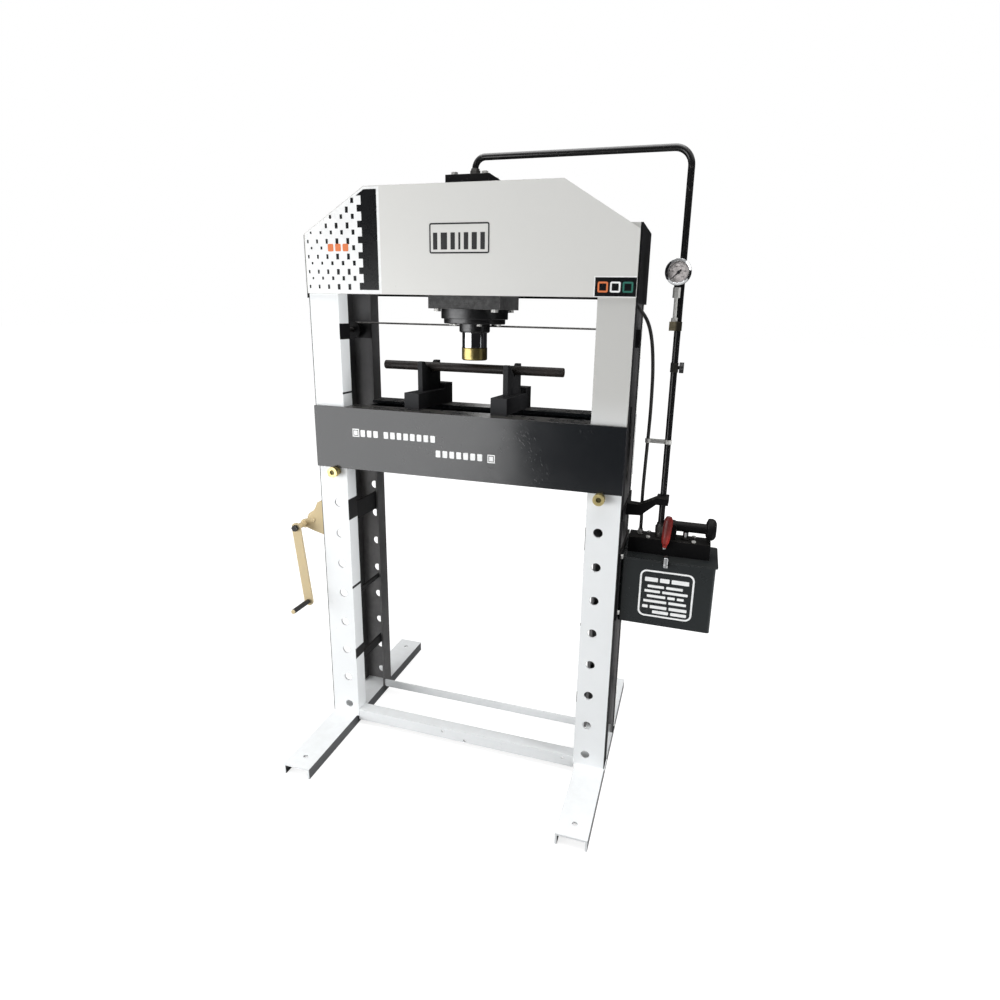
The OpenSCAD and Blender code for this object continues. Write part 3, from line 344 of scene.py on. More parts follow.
def facing_effect():
    """Faces that look along an axis, and against it too where Sides is 1."""
    tree, given, result = new_effect("Facing", {"Axis": FORWARD, "Sides": 0.0}, "Mask")
    along = vector_calc(tree, "DOT_PRODUCT", surface_normal(tree), given["Axis"], "Value")
    folded = calc(tree, "MULTIPLY", calc(tree, "ABSOLUTE", along), given["Sides"])
    facing = smooth_step(tree, calc(tree, "MAXIMUM", along, folded), low=0.70, high=0.90)
    tree.links.new(facing, result["Mask"])
    return tree


EFFECTS = {
    "Facing": facing_effect,
    "Edge Wear": edge_wear_effect,
    "Round Edges": round_edges_effect,
    "Tone Drift": tone_drift_effect,
    "Paint Skin": paint_skin_effect,
    "Machining Lines": machining_lines_effect,
    "Settled Dust": settled_dust_effect,
    "Hair Scratches": hair_scratches_effect,
    "Steel Grain": steel_grain_effect,
    "Band": band_effect,
    "Reach": reach_effect,
}


def effect(name):
    """The node group of that name, built the first time that it is asked for."""
    return bpy.data.node_groups.get(name) or EFFECTS[name]()


class Finish:
    """A material being mixed: one shader, with chains for colour, roughness and metal, and a height."""

    def __init__(self, name, colour, roughness, metallic=0.0):
        self.material = bpy.data.materials.new(name)
        self.material.use_nodes = True
        self.tree = self.material.node_tree
        self.shader = self.tree.nodes["Principled BSDF"]
        self.chains = {"Base Color": tuple(colour) + (1.0,), "Roughness": roughness, "Metallic": metallic}
        self.height = None
        self.normal = None

    def use(self, name, output=0, **values):
        """Places an effect and returns an output, its mask if none is named; _ stands for a space."""
        placed = self.tree.nodes.new("ShaderNodeGroup")
        placed.node_tree = effect(name)
        for key, value in values.items():
            placed.inputs[key.replace("_", " ")].default_value = value
        return placed.outputs[output]

    def blend(self, target, mask, value, amount=1.0):
        """Mixes a colour or value into a chain where the mask says."""
        mix = self.tree.nodes.new("ShaderNodeMix")
        if target == "Base Color":
            mix.data_type = "RGBA"
            value = tuple(value) + (1.0,)
            before, after, out = mix.inputs[6], mix.inputs[7], mix.outputs[2]
        else:
            before, after, out = mix.inputs[2], mix.inputs[3], mix.outputs[0]
        factor = mask if amount == 1.0 else calc(self.tree, "MULTIPLY", mask, amount)
        self.tree.links.new(factor, mix.inputs[0])
        socket_to(self.tree, before, self.chains[target])
        after.default_value = value
        self.chains[target] = out

    def tint(self, name, colour, amount=1.0, **values):
        """Blends a colour in where an effect says, and returns the effect's mask."""
        mask = self.use(name, **values)
        self.blend("Base Color", mask, colour, amount)
        return mask

    def both(self, first, second):
        """Where two masks meet."""
        return calc(self.tree, "MULTIPLY", first, second)

    def raise_with(self, name, **values):
        """Adds an effect's height to the surface."""
        height = self.use(name, "Height", **values)
        self.height = height if self.height is None else calc(self.tree, "ADD", self.height, height)

    def round_edges(self, radius):
        self.normal = self.use("Round Edges", Radius=radius)

    def done(self, **sockets):
        """Connects the chains; sockets are plain values on the shader."""
        for target, value in self.chains.items():
            socket_to(self.tree, self.shader.inputs[target], value)
        for key, value in sockets.items():
            self.shader.inputs[key.replace("_", " ")].default_value = value
        if self.height is not None:
            bump = self.tree.nodes.new("ShaderNodeBump")
            bump.inputs["Strength"].default_value = 1.0
            bump.inputs["Distance"].default_value = 1.0
            self.tree.links.new(self.height, bump.inputs["Height"])
            if self.normal is not None:
                self.tree.links.new(self.normal, bump.inputs["Normal"])
            self.normal = bump.outputs["Normal"]
        if self.normal is not None:
            self.tree.links.new(self.normal, self.shader.inputs["Normal"])
        return self.material


DUST = (0.30, 0.27, 0.23)
PAINT_EDGE = 0.0012
METAL_EDGE = 0.0008


def darker(colour, share):
    return tuple(c * share for c in colour)


def painted(name, colour, roughness, worn=(0.30, 0.29, 0.28), worn_share=0.5, dust_share=0.2,
            drift=0.25, peel=0.00002, wave=0.0002, scratches=0.25):
    """A sprayed paint with drift of tone, rubbed edges, dust on top and a few scuffs."""
    coat = Finish(name, colour, roughness)
    tone = coat.tint("Tone Drift", darker(colour, 0.86), drift, Scale=3.5)
    coat.blend("Roughness", tone, min(1.0, roughness * 1.6), 0.5)
    scuffs = coat.tint("Hair Scratches", worn, 0.35, Cover=scratches)
    coat.blend("Roughness", scuffs, 0.6, 0.6)
    dust = coat.tint("Settled Dust", DUST, dust_share, Cover=0.55, Scale=26.0)
    coat.blend("Roughness", dust, 0.8, min(1.0, dust_share * 2))
    coat.tint("Edge Wear", worn, worn_share, Radius=PAINT_EDGE * 1.6, Scale=110.0, Cover=0.55)
    coat.raise_with("Paint Skin", Peel=peel, Wave=wave)
    coat.round_edges(PAINT_EDGE)
    return coat


def bare_metal(name, colour, roughness, stretch, depth, tarnish, tarnish_share, metallic=1.0):
    """A machined or plated metal with its tool lines and a little tarnish."""
    metal = Finish(name, colour, roughness, metallic)
    lines = metal.tint("Machining Lines", darker(colour, 0.75), 0.5, Stretch=stretch)
    metal.blend("Roughness", lines, min(1.0, roughness * 2.0), 0.6)
    stain = metal.tint("Tone Drift", tarnish, tarnish_share, Scale=14.0)
    metal.blend("Roughness", stain, min(1.0, roughness * 1.8), 0.4)
    rubbed = tuple(min(1.0, c * 1.5 + 0.05) for c in colour)
    metal.tint("Edge Wear", rubbed, 0.5, Radius=METAL_EDGE * 2, Scale=160.0, Cover=0.6)
    metal.raise_with("Machining Lines", Stretch=stretch, Depth=depth)
    metal.round_edges(METAL_EDGE)
    return metal


def printed(name, colour, roughness=0.42):
    """A printed coat: even colour with slightly thin patches and a satin skin."""
    ink = Finish(name, colour, roughness)
    thin = ink.tint("Tone Drift", darker(colour, 0.80), 0.4, Scale=24.0)
    ink.blend("Roughness", thin, roughness * 1.3, 0.6)
    ink.raise_with("Paint Skin", Peel=0.000006, Wave=0.0003)
    return ink


# ---- the finishes ----
WHITE_PAINT = dict(base="frame_white", gloss=0.4, roughness=0.34, dust_share=0.10, drift=0.22,
                   scratches=0.20)

# Paints: the chosen colour and the share of it, the gloss, and what painted() is given.
PAINTS = {
    "frame_white": WHITE_PAINT,
    "upright_two_tone": WHITE_PAINT,
    "head_grey": dict(base="head_grey", gloss=0.45, roughness=0.30, dust_share=0.08, drift=0.12,
                      peel=0.000014, wave=0.0005, scratches=0.12),
    "frame_black": dict(base="frame_black", gloss=0.2, roughness=0.34, worn=(0.13, 0.13, 0.13),
                        dust_share=0.06, drift=0.3, scratches=0.3),
    "rear_black": dict(base="rear_black", gloss=0.2, roughness=0.55, worn=(0.26, 0.25, 0.24),
                       dust_share=0.4, drift=0.5, scratches=0.35),
    "table_enamel": dict(base="table_black", gloss=0.55, roughness=0.16, worn=(0.20, 0.20, 0.20),
                         dust_share=0.14, drift=0.3, peel=0.000012, wave=0.0011, scratches=0.30),
    "tank_enamel": dict(base="tank_black", gloss=0.35, roughness=0.22, worn=(0.10, 0.10, 0.10),
                        worn_share=0.35, dust_share=0.03, drift=0.3, wave=0.0006, scratches=0.15),
    "pipe_black": dict(base="frame_black", share=0.8, gloss=0.5, roughness=0.22, worn=(0.12, 0.11, 0.10),
                       dust_share=0.05, drift=0.4, peel=0.00003, scratches=0.4),
    "cast_black": dict(base="frame_black", share=0.6, gloss=0.12, roughness=0.48, worn=(0.16, 0.15, 0.14),
                       worn_share=0.6, dust_share=0.03, drift=0.4, scratches=0.3),
}

# Metals, each with its own or a chosen colour, and what bare_metal() is given.
METALS = {
    "burnished_steel": dict(colour=(0.125, 0.126, 0.128), roughness=0.26, stretch=(9.0, 9.0, 900.0),
                            depth=0.000012, tarnish=(0.03, 0.03, 0.03), tarnish_share=0.4),
    "chrome": dict(colour=(0.60, 0.61, 0.62), roughness=0.06, stretch=(7.0, 7.0, 500.0),
                   depth=0.0000015, tarnish=(0.34, 0.34, 0.35), tarnish_share=0.2),
    "tip_brass": dict(base="brass", roughness=0.24, stretch=(10.0, 10.0, 1300.0),
                      depth=0.000035, tarnish=(0.22, 0.14, 0.06), tarnish_share=0.35),
    "old_brass": dict(gloss=0.2, colour=(0.34, 0.30, 0.20), roughness=0.40, stretch=(60.0, 60.0, 300.0),
                      depth=0.00002, tarnish=(0.08, 0.07, 0.045), tarnish_share=0.6),
    "bright_steel": dict(colour=(0.62, 0.62, 0.60), roughness=0.32, stretch=(120.0, 120.0, 120.0),
                         depth=0.00002, tarnish=(0.22, 0.21, 0.19), tarnish_share=0.30, metallic=0.45),
    "dark_steel": dict(colour=(0.16, 0.155, 0.15), roughness=0.34, stretch=(200.0, 60.0, 200.0),
                       depth=0.00002, tarnish=(0.05, 0.045, 0.04), tarnish_share=0.5),
    "wire_rope": dict(colour=(0.20, 0.195, 0.19), roughness=0.42, stretch=(900.0, 900.0, 300.0),
                      depth=0.00005, tarnish=(0.03, 0.028, 0.025), tarnish_share=0.6),
    "pin_gold": dict(colour=(0.72, 0.60, 0.28), roughness=0.32, stretch=(90.0, 400.0, 90.0),
                     depth=0.00002, tarnish=(0.28, 0.20, 0.08), tarnish_share=0.4),
}

# Inks of the printed marks, and what printed() is given.
INKS = {
    "print_white": dict(gloss=0.4, base="print_white", roughness=0.36),
    "print_black": dict(gloss=0.4, colour=(0.0045, 0.005, 0.0058), roughness=0.26),
    "print_grey": dict(gloss=0.4, colour=(0.020, 0.020, 0.021)),
    "print_orange": dict(gloss=0.4, base="mark_orange"),
    "print_green": dict(gloss=0.4, base="mark_green"),
}

# Bottom and top of each black lap on the uprights' inner sides, and how far its edge fades either way.
PAINT_LAPS = ((1.347, 1.394), (1.181, 1.187), (0.770, 0.840), (0.526, 0.535), (0.262, 0.300))
LAP_BLUR = 0.0005


def painted_shade_feet_sides(coat, colours):
    """Painted shade on the sides of the feet, under their rounded top edge."""
    low = coat.use("Band", Axis=UP, From=0.0353, To=0.0347)
    sides = coat.use("Facing", Axis=ACROSS, Sides=1.0)
    # Painted shade: the feet's side faces are made dark grey, as if the light from the left and above
    # leaves them in shade.
    coat.blend("Base Color", coat.both(low, sides), (0.085, 0.087, 0.09))


def upright_sides(coat, colours):
    """Black outer sides and laps on the inner ones, and painted shade greying the upper front on the
    right.
    """
    inner = coat.use("Band", Axis=ACROSS, From=0.3900, To=0.3890)
    for low, top in PAINT_LAPS:
        over = coat.use("Band", Axis=UP, From=low - LAP_BLUR, To=low + LAP_BLUR)
        under = coat.use("Band", Axis=UP, From=top + LAP_BLUR, To=top - LAP_BLUR)
        coat.blend("Base Color", coat.both(inner, coat.both(over, under)), colours.frame_black)
    side = coat.tint("Band", colours.frame_black, Axis=ACROSS, From=0.4852, To=0.4862)
    coat.blend("Roughness", side, 0.75)
    # Painted shade: the right upright's front above about 1.02 m is made head grey, in place of the shade
    # that falls there.
    high = coat.use("Reach", Axis=UP, From=1.02, To=1.24)
    right = coat.use("Reach", Axis=ACROSS, From=0.2, To=0.3)
    front = coat.use("Facing", Axis=FORWARD)
    coat.blend("Base Color", coat.both(coat.both(high, right), front), darker(colours.head_grey, 0.80))


def rear_upright_sides(coat, colours):
    """Dusty inside, darker towards the top, deep black outer sides with a light strip along the rear edge.
    """
    coat.tint("Tone Drift", (0.19, 0.185, 0.185), 0.5, Scale=7.0)
    # Darker from 0.95 m upwards, fully so from 1.30 m.
    coat.tint("Band", (0.075, 0.075, 0.078), 0.75, Axis=UP, From=0.95, To=1.30)
    side = coat.tint("Band", colours.frame_black, Axis=ACROSS, From=0.4870, To=0.4877)
    coat.blend("Roughness", side, 0.75)
    edge = coat.use("Band", Axis=REARWARD, From=0.1040, To=0.1050)
    coat.blend("Base Color", coat.both(side, edge), (0.50, 0.50, 0.49))


def cast_skin(coat, colours):
    """The rough skin of the pump's castings."""
    coat.raise_with("Steel Grain", Scale=240.0, Depth=0.0003)


def brass_joint(brass, colours):
    """A dark joint line under the ram."""
    joint = brass.tint("Band", (0.03, 0.024, 0.014), 0.95, Axis=UP, From=1.3290, To=1.3312)
    brass.blend("Roughness", joint, 0.6)


def blackened_block(brass, colours):
    """Black below the upper pipe block, and darker towards that block's far side."""
    low = brass.tint("Band", (0.012, 0.012, 0.012), Axis=UP, From=1.37, To=1.35)
    brass.blend("Metallic", low, 0.0)
    brass.tint("Band", (0.020, 0.019, 0.016), 0.9, Axis=ACROSS, From=0.586, To=0.594)


def darkened_pin_hollow(gold, colours):
    """The dark hollow in the pins' heads."""
    hollow = gold.use("Band", Axis=REARWARD, From=0.1462, To=0.1454)
    front = gold.use("Facing", Axis=FORWARD)
    # The floor of the hollow, where it looks forward, is made dark.
    gold.blend("Base Color", gold.both(hollow, front), (0.05, 0.045, 0.02), 0.9)


# What a finish out of the tables adds for its own surface.
ADDED = {
    "frame_white": painted_shade_feet_sides,
    "upright_two_tone": upright_sides,
    "rear_black": rear_upright_sides,
    "cast_black": cast_skin,
    "tip_brass": brass_joint,
    "old_brass": blackened_block,
    "pin_gold": darkened_pin_hollow,
}


def make_plate_grey(name, colours):
    """The thick sawn plate that holds the cylinder, with its scaled, grainy skin."""
    plate = Finish(name, (0.040, 0.040, 0.041), 0.6)
    plate.tint("Steel Grain", (0.115, 0.115, 0.114), 0.7, Scale=330.0)
    plate.tint("Tone Drift", (0.035, 0.035, 0.036), 0.55, Scale=9.0)
    plate.tint("Edge Wear", (0.34, 0.34, 0.33), 0.5, Radius=0.003, Scale=90.0, Cover=0.6)
    plate.raise_with("Steel Grain", Scale=330.0, Depth=0.0004)
    plate.round_edges(0.0015)
    return plate.done(Specular_IOR_Level=0.3)


def make_scaled_steel(name, colours):
    """Flame-cut steel of the vee blocks: black scale, with painted light making the faces that look
    forward lighter.
    """
    steel = Finish(name, (0.008, 0.008, 0.009), 0.60)
    steel.tint("Steel Grain", (0.020, 0.020, 0.021), 0.7, Scale=260.0)
    # Painted light: faces that look forward are made lighter, as if lit by the lamps at the front.
    steel.tint("Facing", (0.042, 0.043, 0.046), 0.8, Axis=FORWARD)
    steel.tint("Machining Lines", (0.03, 0.03, 0.03), 0.25, Stretch=(420.0, 30.0, 18.0))
    steel.tint("Edge Wear", (0.11, 0.11, 0.108), 0.5, Radius=0.003, Scale=120.0, Cover=0.62)
    steel.raise_with("Steel Grain", Scale=260.0, Depth=0.0005)
    steel.round_edges(0.0014)
    return steel.done(Specular_IOR_Level=0.1)


def make_bar_steel(name, colours):
    """Rough turned bar with a brown oiled skin."""
    rings = (520.0, 14.0, 14.0)
    bar = Finish(name, (0.004, 0.0038, 0.0036), 0.42, 0.4)
    bar.tint("Machining Lines", (0.024, 0.022, 0.021), 0.6, Stretch=rings)
    rust = bar.tint("Tone Drift", (0.030, 0.018, 0.015), 0.4, Scale=20.0)
    bar.blend("Metallic", rust, 0.2, 0.7)
    bar.blend("Roughness", rust, 0.7, 0.6)
    bar.tint("Edge Wear", (0.30, 0.28, 0.25), 0.5, Radius=0.002, Scale=120.0, Cover=0.7)
    bar.raise_with("Machining Lines", Stretch=rings, Depth=0.00012)
    bar.round_edges(0.001)
    return bar.done()


def make_yellow_zinc(name, colours):
    """Yellow passivated plating: a warm, cloudy metal with brighter rubbed edges."""
    zinc = Finish(name, colours.zinc_yellow, 0.46, 0.12)
    cloud = zinc.tint("Tone Drift", (0.56, 0.44, 0.24), 0.55, Scale=16.0)
    zinc.blend("Roughness", cloud, 0.55, 0.6)
    zinc.tint("Machining Lines", (0.44, 0.38, 0.25), 0.35, Stretch=(700.0, 60.0, 14.0))
    zinc.tint("Edge Wear", (0.85, 0.82, 0.72), 0.6, Radius=0.002, Scale=130.0, Cover=0.62)
    zinc.raise_with("Paint Skin", Peel=0.00003, Wave=0.0002)
    zinc.round_edges(0.0009)
    return zinc.done(Specular_IOR_Level=0.25)


def make_crank_zinc(name, colours):
    """The crank shaft: plated like the winch, with a dark hexagon at its outer end."""
    zinc = Finish(name, colours.zinc_yellow, 0.46, 0.12)
    zinc.tint("Tone Drift", (0.60, 0.46, 0.24), 0.6, Scale=20.0)
    zinc.tint("Band", (0.02, 0.02, 0.02), Axis=REARWARD, From=0.1655, To=0.1662)
    zinc.tint("Edge Wear", (0.60, 0.58, 0.50), 0.5, Radius=0.0015, Scale=150.0, Cover=0.6)
    zinc.round_edges(0.0007)
    return zinc.done(Specular_IOR_Level=0.25)


def make_moulded_black(name, colours):
    """Moulded plastic of the knob, the grip, the needle and the ram's wiper."""
    plastic = Finish(name, (0.014, 0.014, 0.015), 0.38)
    plastic.blend("Roughness", plastic.use("Steel Grain", Scale=900.0), 0.52, 0.7)
    plastic.tint("Edge Wear", (0.08, 0.08, 0.08), 0.5, Radius=0.0015, Scale=180.0, Cover=0.55)
    plastic.raise_with("Steel Grain", Scale=900.0, Depth=0.00004)
    plastic.round_edges(0.0008)
    return plastic.done()


def make_hose_rubber(name, colours):
    """Slightly chalky rubber of the return hose."""
    rubber = Finish(name, (0.018, 0.018, 0.018), 0.40)
    chalk = rubber.tint("Tone Drift", (0.05, 0.048, 0.045), 0.5, Scale=30.0)
    rubber.blend("Roughness", chalk, 0.6, 0.6)
    rubber.raise_with("Steel Grain", Scale=700.0, Depth=0.00006)
    return rubber.done()


def make_moulded_red(name, colours):
    """Red plastic of the release handle, darker towards its top."""
    red = Finish(name, colours.lever_red, 0.28)
    red.tint("Tone Drift", darker(colours.lever_red, 0.45), 0.6, Scale=28.0)
    # Darker from 0.812 m up to 0.850 m.
    darker_top = red.tint("Band", darker(colours.lever_red, 0.18), 0.7, Axis=UP, From=0.812, To=0.850)
    red.blend("Roughness", darker_top, 0.5, 0.7)
    red.raise_with("Steel Grain", Scale=500.0, Depth=0.00005)
    return red.done()


def make_dial_face(name, colours):
    """Aged enamel behind the gauge's figures."""
    dial = Finish(name, colours.dial_grey, 0.5)
    dial.tint("Tone Drift", darker(colours.dial_grey, 0.72), 0.7, Scale=70.0)
    dial.raise_with("Steel Grain", Scale=1500.0, Depth=0.00001)
    return dial.done()


def make_clear_glass(name, colours):
    """Smeared glass of the gauge."""
    glass = Finish(name, (0.97, 0.98, 0.98), 0.03)
    glass.blend("Roughness", glass.use("Tone Drift", Scale=40.0), 0.10, 0.6)
    return glass.done(Transmission_Weight=1.0, IOR=1.45, Alpha=0.30)


# Finishes with a skin of their own.
MADE_SINGLY = {
    "plate_grey": make_plate_grey,
    "scaled_steel": make_scaled_steel,
    "bar_steel": make_bar_steel,
    "yellow_zinc": make_yellow_zinc,
    "crank_zinc": make_crank_zinc,
    "moulded_black": make_moulded_black,
    "hose_rubber": make_hose_rubber,
    "moulded_red": make_moulded_red,
    "dial_face": make_dial_face,
    "clear_glass": make_clear_glass,
}


def mix_finish(name, full_name, colours):
    """A finish out of the tables, with what its own surface adds."""
    for table, mix in ((PAINTS, painted), (METALS, bare_metal), (INKS, printed)):
        if name in table:
            values = dict(table[name])
            gloss = values.pop("gloss", None)
            share = values.pop("share", 1.0)
            if "base" in values:
                values["colour"] = darker(getattr(colours, values.pop("base")), share)
            made = mix(full_name, **values)
            if name in ADDED:
                ADDED[name](made, colours)
            return made.done() if gloss is None else made.done(Specular_IOR_Level=gloss)
    return MADE_SINGLY[name](full_name, colours)


def finish(name):
    """The finish of that name, mixed the first time that it is asked for."""
    full_name = "press_" + name
    found = bpy.data.materials.get(full_name)
    return found or mix_finish(name, full_name, bpy.context.scene.press_colours)


def coat_nodes(finish_name, *nodes):
    """Gives the frame's own pieces their finish."""
    for node in nodes:
        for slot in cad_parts[node].material_slots:
            slot.material = finish(finish_name)


# ---- shaping ----
# How far a printed coat reaches back into what it lies on.
PRINT_ROOT = 0.0001


def add_piece(name, bm, finish_name, body, smooth=None):
    """Makes an object of a finished bmesh, gives it its finish and lets it ride on a body."""
    mesh = bpy.data.meshes.new(name)
    bm.to_mesh(mesh)
    bm.free()
    mesh.materials.append(finish(finish_name))
    if smooth is not None:
        mesh.polygons.foreach_set("use_smooth", [True] * len(mesh.polygons))
        mesh.set_sharp_from_angle(angle=math.radians(smooth))
    piece = bpy.data.objects.new(name, mesh)
    bpy.context.scene.collection.objects.link(piece)
    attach(piece, body)
    return piece


def rounded_outline(x0, x1, z0, z1, radius, steps=5):
    """Corner points of an upright rectangle with rounded corners, in metres."""
    points = []
    for cx, cz, start in ((x1, z1, 0), (x0, z1, 90), (x0, z0, 180), (x1, z0, 270)):
        ix = cx - math.copysign(radius, cx - (x0 + x1) / 2)
        iz = cz - math.copysign(radius, cz - (z0 + z1) / 2)
        for k in range(steps + 1):
            angle = math.radians(start + 90 * k / steps)
            points.append((ix + radius * math.cos(angle), iz + radius * math.sin(angle)))
    return points


def rectangle(x0, x1, z0, z1):
    return [(x0, z0), (x1, z0), (x1, z1), (x0, z1)]


def add_coat(bm, outline, back_y, front_y, border=None):
    """A thin coat on a front face; with a border only a frame of that width is left of it."""
    face = bm.faces.new([bm.verts.new((x, back_y, z)) for x, z in outline])
    faces = [face]
    if border:
        bm.normal_update()
        inset = bmesh.ops.inset_individual(bm, faces=[face], thickness=border, use_even_offset=True)
        faces = inset["faces"]
        bmesh.ops.delete(bm, geom=[face], context="FACES_ONLY")
    grown = bmesh.ops.extrude_face_region(bm, geom=faces)
    moved = [v for v in grown["geom"] if isinstance(v, bmesh.types.BMVert)]
    bmesh.ops.translate(bm, verts=moved, vec=(0.0, front_y - back_y, 0.0))


def print_piece(name, coats, ink, body="frame"):
    """One printed piece of coats, each with its outline, its back, its front and maybe a border."""
    bm = bmesh.new()
    for coat in coats:
        add_coat(bm, *coat)
    bmesh.ops.recalc_face_normals(bm, faces=bm.faces)
    return add_piece(name, bm, ink, body)


def add_turned(bm, profile, centre, axis=UP, steps=48, closed=False):
    """Spins a (radius, height) profile once round an axis through the centre."""
    verts = [bm.verts.new((r, 0.0, h)) for r, h in profile]
    pairs = list(zip(verts, verts[1:]))
    if closed:
        pairs.append((verts[-1], verts[0]))
    edges = [bm.edges.new(pair) for pair in pairs]
    before = set(bm.verts) - set(verts)
    bmesh.ops.spin(
        bm, geom=verts + edges, cent=(0, 0, 0), axis=UP, angle=FULL_TURN, steps=steps, use_merge=True
    )
    made = [v for v in bm.verts if v not in before]
    bmesh.ops.remove_doubles(bm, verts=made, dist=MERGE)
    made = [v for v in bm.verts if v not in before]
    turn = Vector(UP).rotation_difference(Vector(axis)).to_matrix().to_4x4()
    bmesh.ops.transform(bm, matrix=Matrix.Translation(centre) @ turn, verts=made)
    faces = list({f for v in made for f in v.link_faces})
    bmesh.ops.recalc_face_normals(bm, faces=faces)


def even_points(points, step):
    """Points at an even distance along a line of points."""
    points = [Vector(p) for p in points]
    lengths = [(b - a).length for a, b in zip(points, points[1:])]
    total = sum(lengths)
    count = max(2, round(total / step))
    spaced, index, passed = [], 0, 0.0
    for k in range(count + 1):
        want = total * k / count
        while index < len(lengths) - 1 and passed + lengths[index] < want:
            passed += lengths[index]
            index += 1
        share = (want - passed) / lengths[index]
        spaced.append(points[index].lerp(points[index + 1], min(1.0, share)))
    return spaced, total


def flowing_points(points, steps):
    """A smooth line through the given points, with that many parts between two of them."""
    points = [Vector(p) for p in points]
    padded = [2 * points[0] - points[1]] + points + [2 * points[-1] - points[-2]]
    smooth = []
    for a, b, c, d in zip(padded, padded[1:], padded[2:], padded[3:]):
        for k in range(steps):
            t = k / steps
            turning = (2 * a - 5 * b + 4 * c - d) * t * t
            closing = (3 * b - a - 3 * c + d) * t ** 3
            smooth.append(0.5 * ((2 * b) + (c - a) * t + turning + closing))
    return smooth + [points[-1]]


def curve_along(name, lines, radius, section=None, tilts=None, swell=None):
    """A curve object that runs along lines of points, round or with its own section."""
    curve = bpy.data.curves.new(name, "CURVE")
    curve.dimensions = "3D"
    curve.use_fill_caps = True
    if section:
        curve.bevel_mode = "OBJECT"
        curve.bevel_object = section
    else:
        curve.bevel_depth = radius
        curve.bevel_resolution = 3
    for number, line in enumerate(lines):
        spline = curve.splines.new("POLY")
        spline.points.add(len(line) - 1)
        for k, point in enumerate(line):
            spline.points[k].co = (*point, 1.0)
            if tilts:
                spline.points[k].tilt = tilts[number][k]
            if swell:
                spline.points[k].radius = swell[number][k]
        spline.use_smooth = True
    made = bpy.data.objects.new(name, curve)
    bpy.context.scene.collection.objects.link(made)
    return made


def mesh_of_curve(made):
    """A bmesh of a curve object, which is then removed."""
    bpy.context.view_layer.update()
    mesh = bpy.data.meshes.new_from_object(made.evaluated_get(bpy.context.evaluated_depsgraph_get()))
    bm = bmesh.new()
    bm.from_mesh(mesh)
    bpy.data.meshes.remove(mesh)
    bpy.data.objects.remove(made)
    bmesh.ops.remove_doubles(bm, verts=bm.verts, dist=MERGE)
    bmesh.ops.recalc_face_normals(bm, faces=bm.faces)
    return bm


def strand_section(radius, strands=6, leans=(-62, -22, 22, 62)):
    """The outline of a rope's section: a ring of strands, with points at those degrees on each."""
    strand = radius / 3
    curve = bpy.data.curves.new("strand_section", "CURVE")
    curve.dimensions = "2D"
    spline = curve.splines.new("POLY")
    points = []
    for k in range(strands):
        middle = FULL_TURN * k / strands
        for lean in leans:
            angle = middle + math.radians(lean)
            x = 2 * strand * math.cos(middle) + strand * math.cos(angle)
            y = 2 * strand * math.sin(middle) + strand * math.sin(angle)
            points.append((x, y))
    spline.points.add(len(points) - 1)
    for k, (x, y) in enumerate(points):
        spline.points[k].co = (x, y, 0.0, 1.0)
    spline.use_cyclic_u = True
    section = bpy.data.objects.new("strand_section", curve)
    bpy.context.scene.collection.objects.link(section)
    return section


def laid_rope(name, paths, sizes, body, step=0.0036):
    """A stranded wire rope along each path."""
    section = strand_section(sizes.rope_radius)
    lines, tilts = [], []
    for path in paths:
        line, total = even_points(path, step)
        lines.append(line)
        tilts.append([FULL_TURN * total * k / (len(line) - 1) / sizes.rope_lay for k in range(len(line))])
    rope = curve_along(name + "_line", lines, sizes.rope_radius, section, tilts)
    bm = mesh_of_curve(rope)
    bpy.data.objects.remove(section)
    return add_piece(name, bm, "wire_rope", body, smooth=50)


def arc_points(centre, radius, start, end, y, steps=18):
    """Points round a sheave, from a start to an end angle in degrees."""
    made = []
    for k in range(steps + 1):
        angle = math.radians(start + (end - start) * k / steps)
        made.append((centre[0] + radius * math.cos(angle), y, centre[1] + radius * math.sin(angle)))
    return made


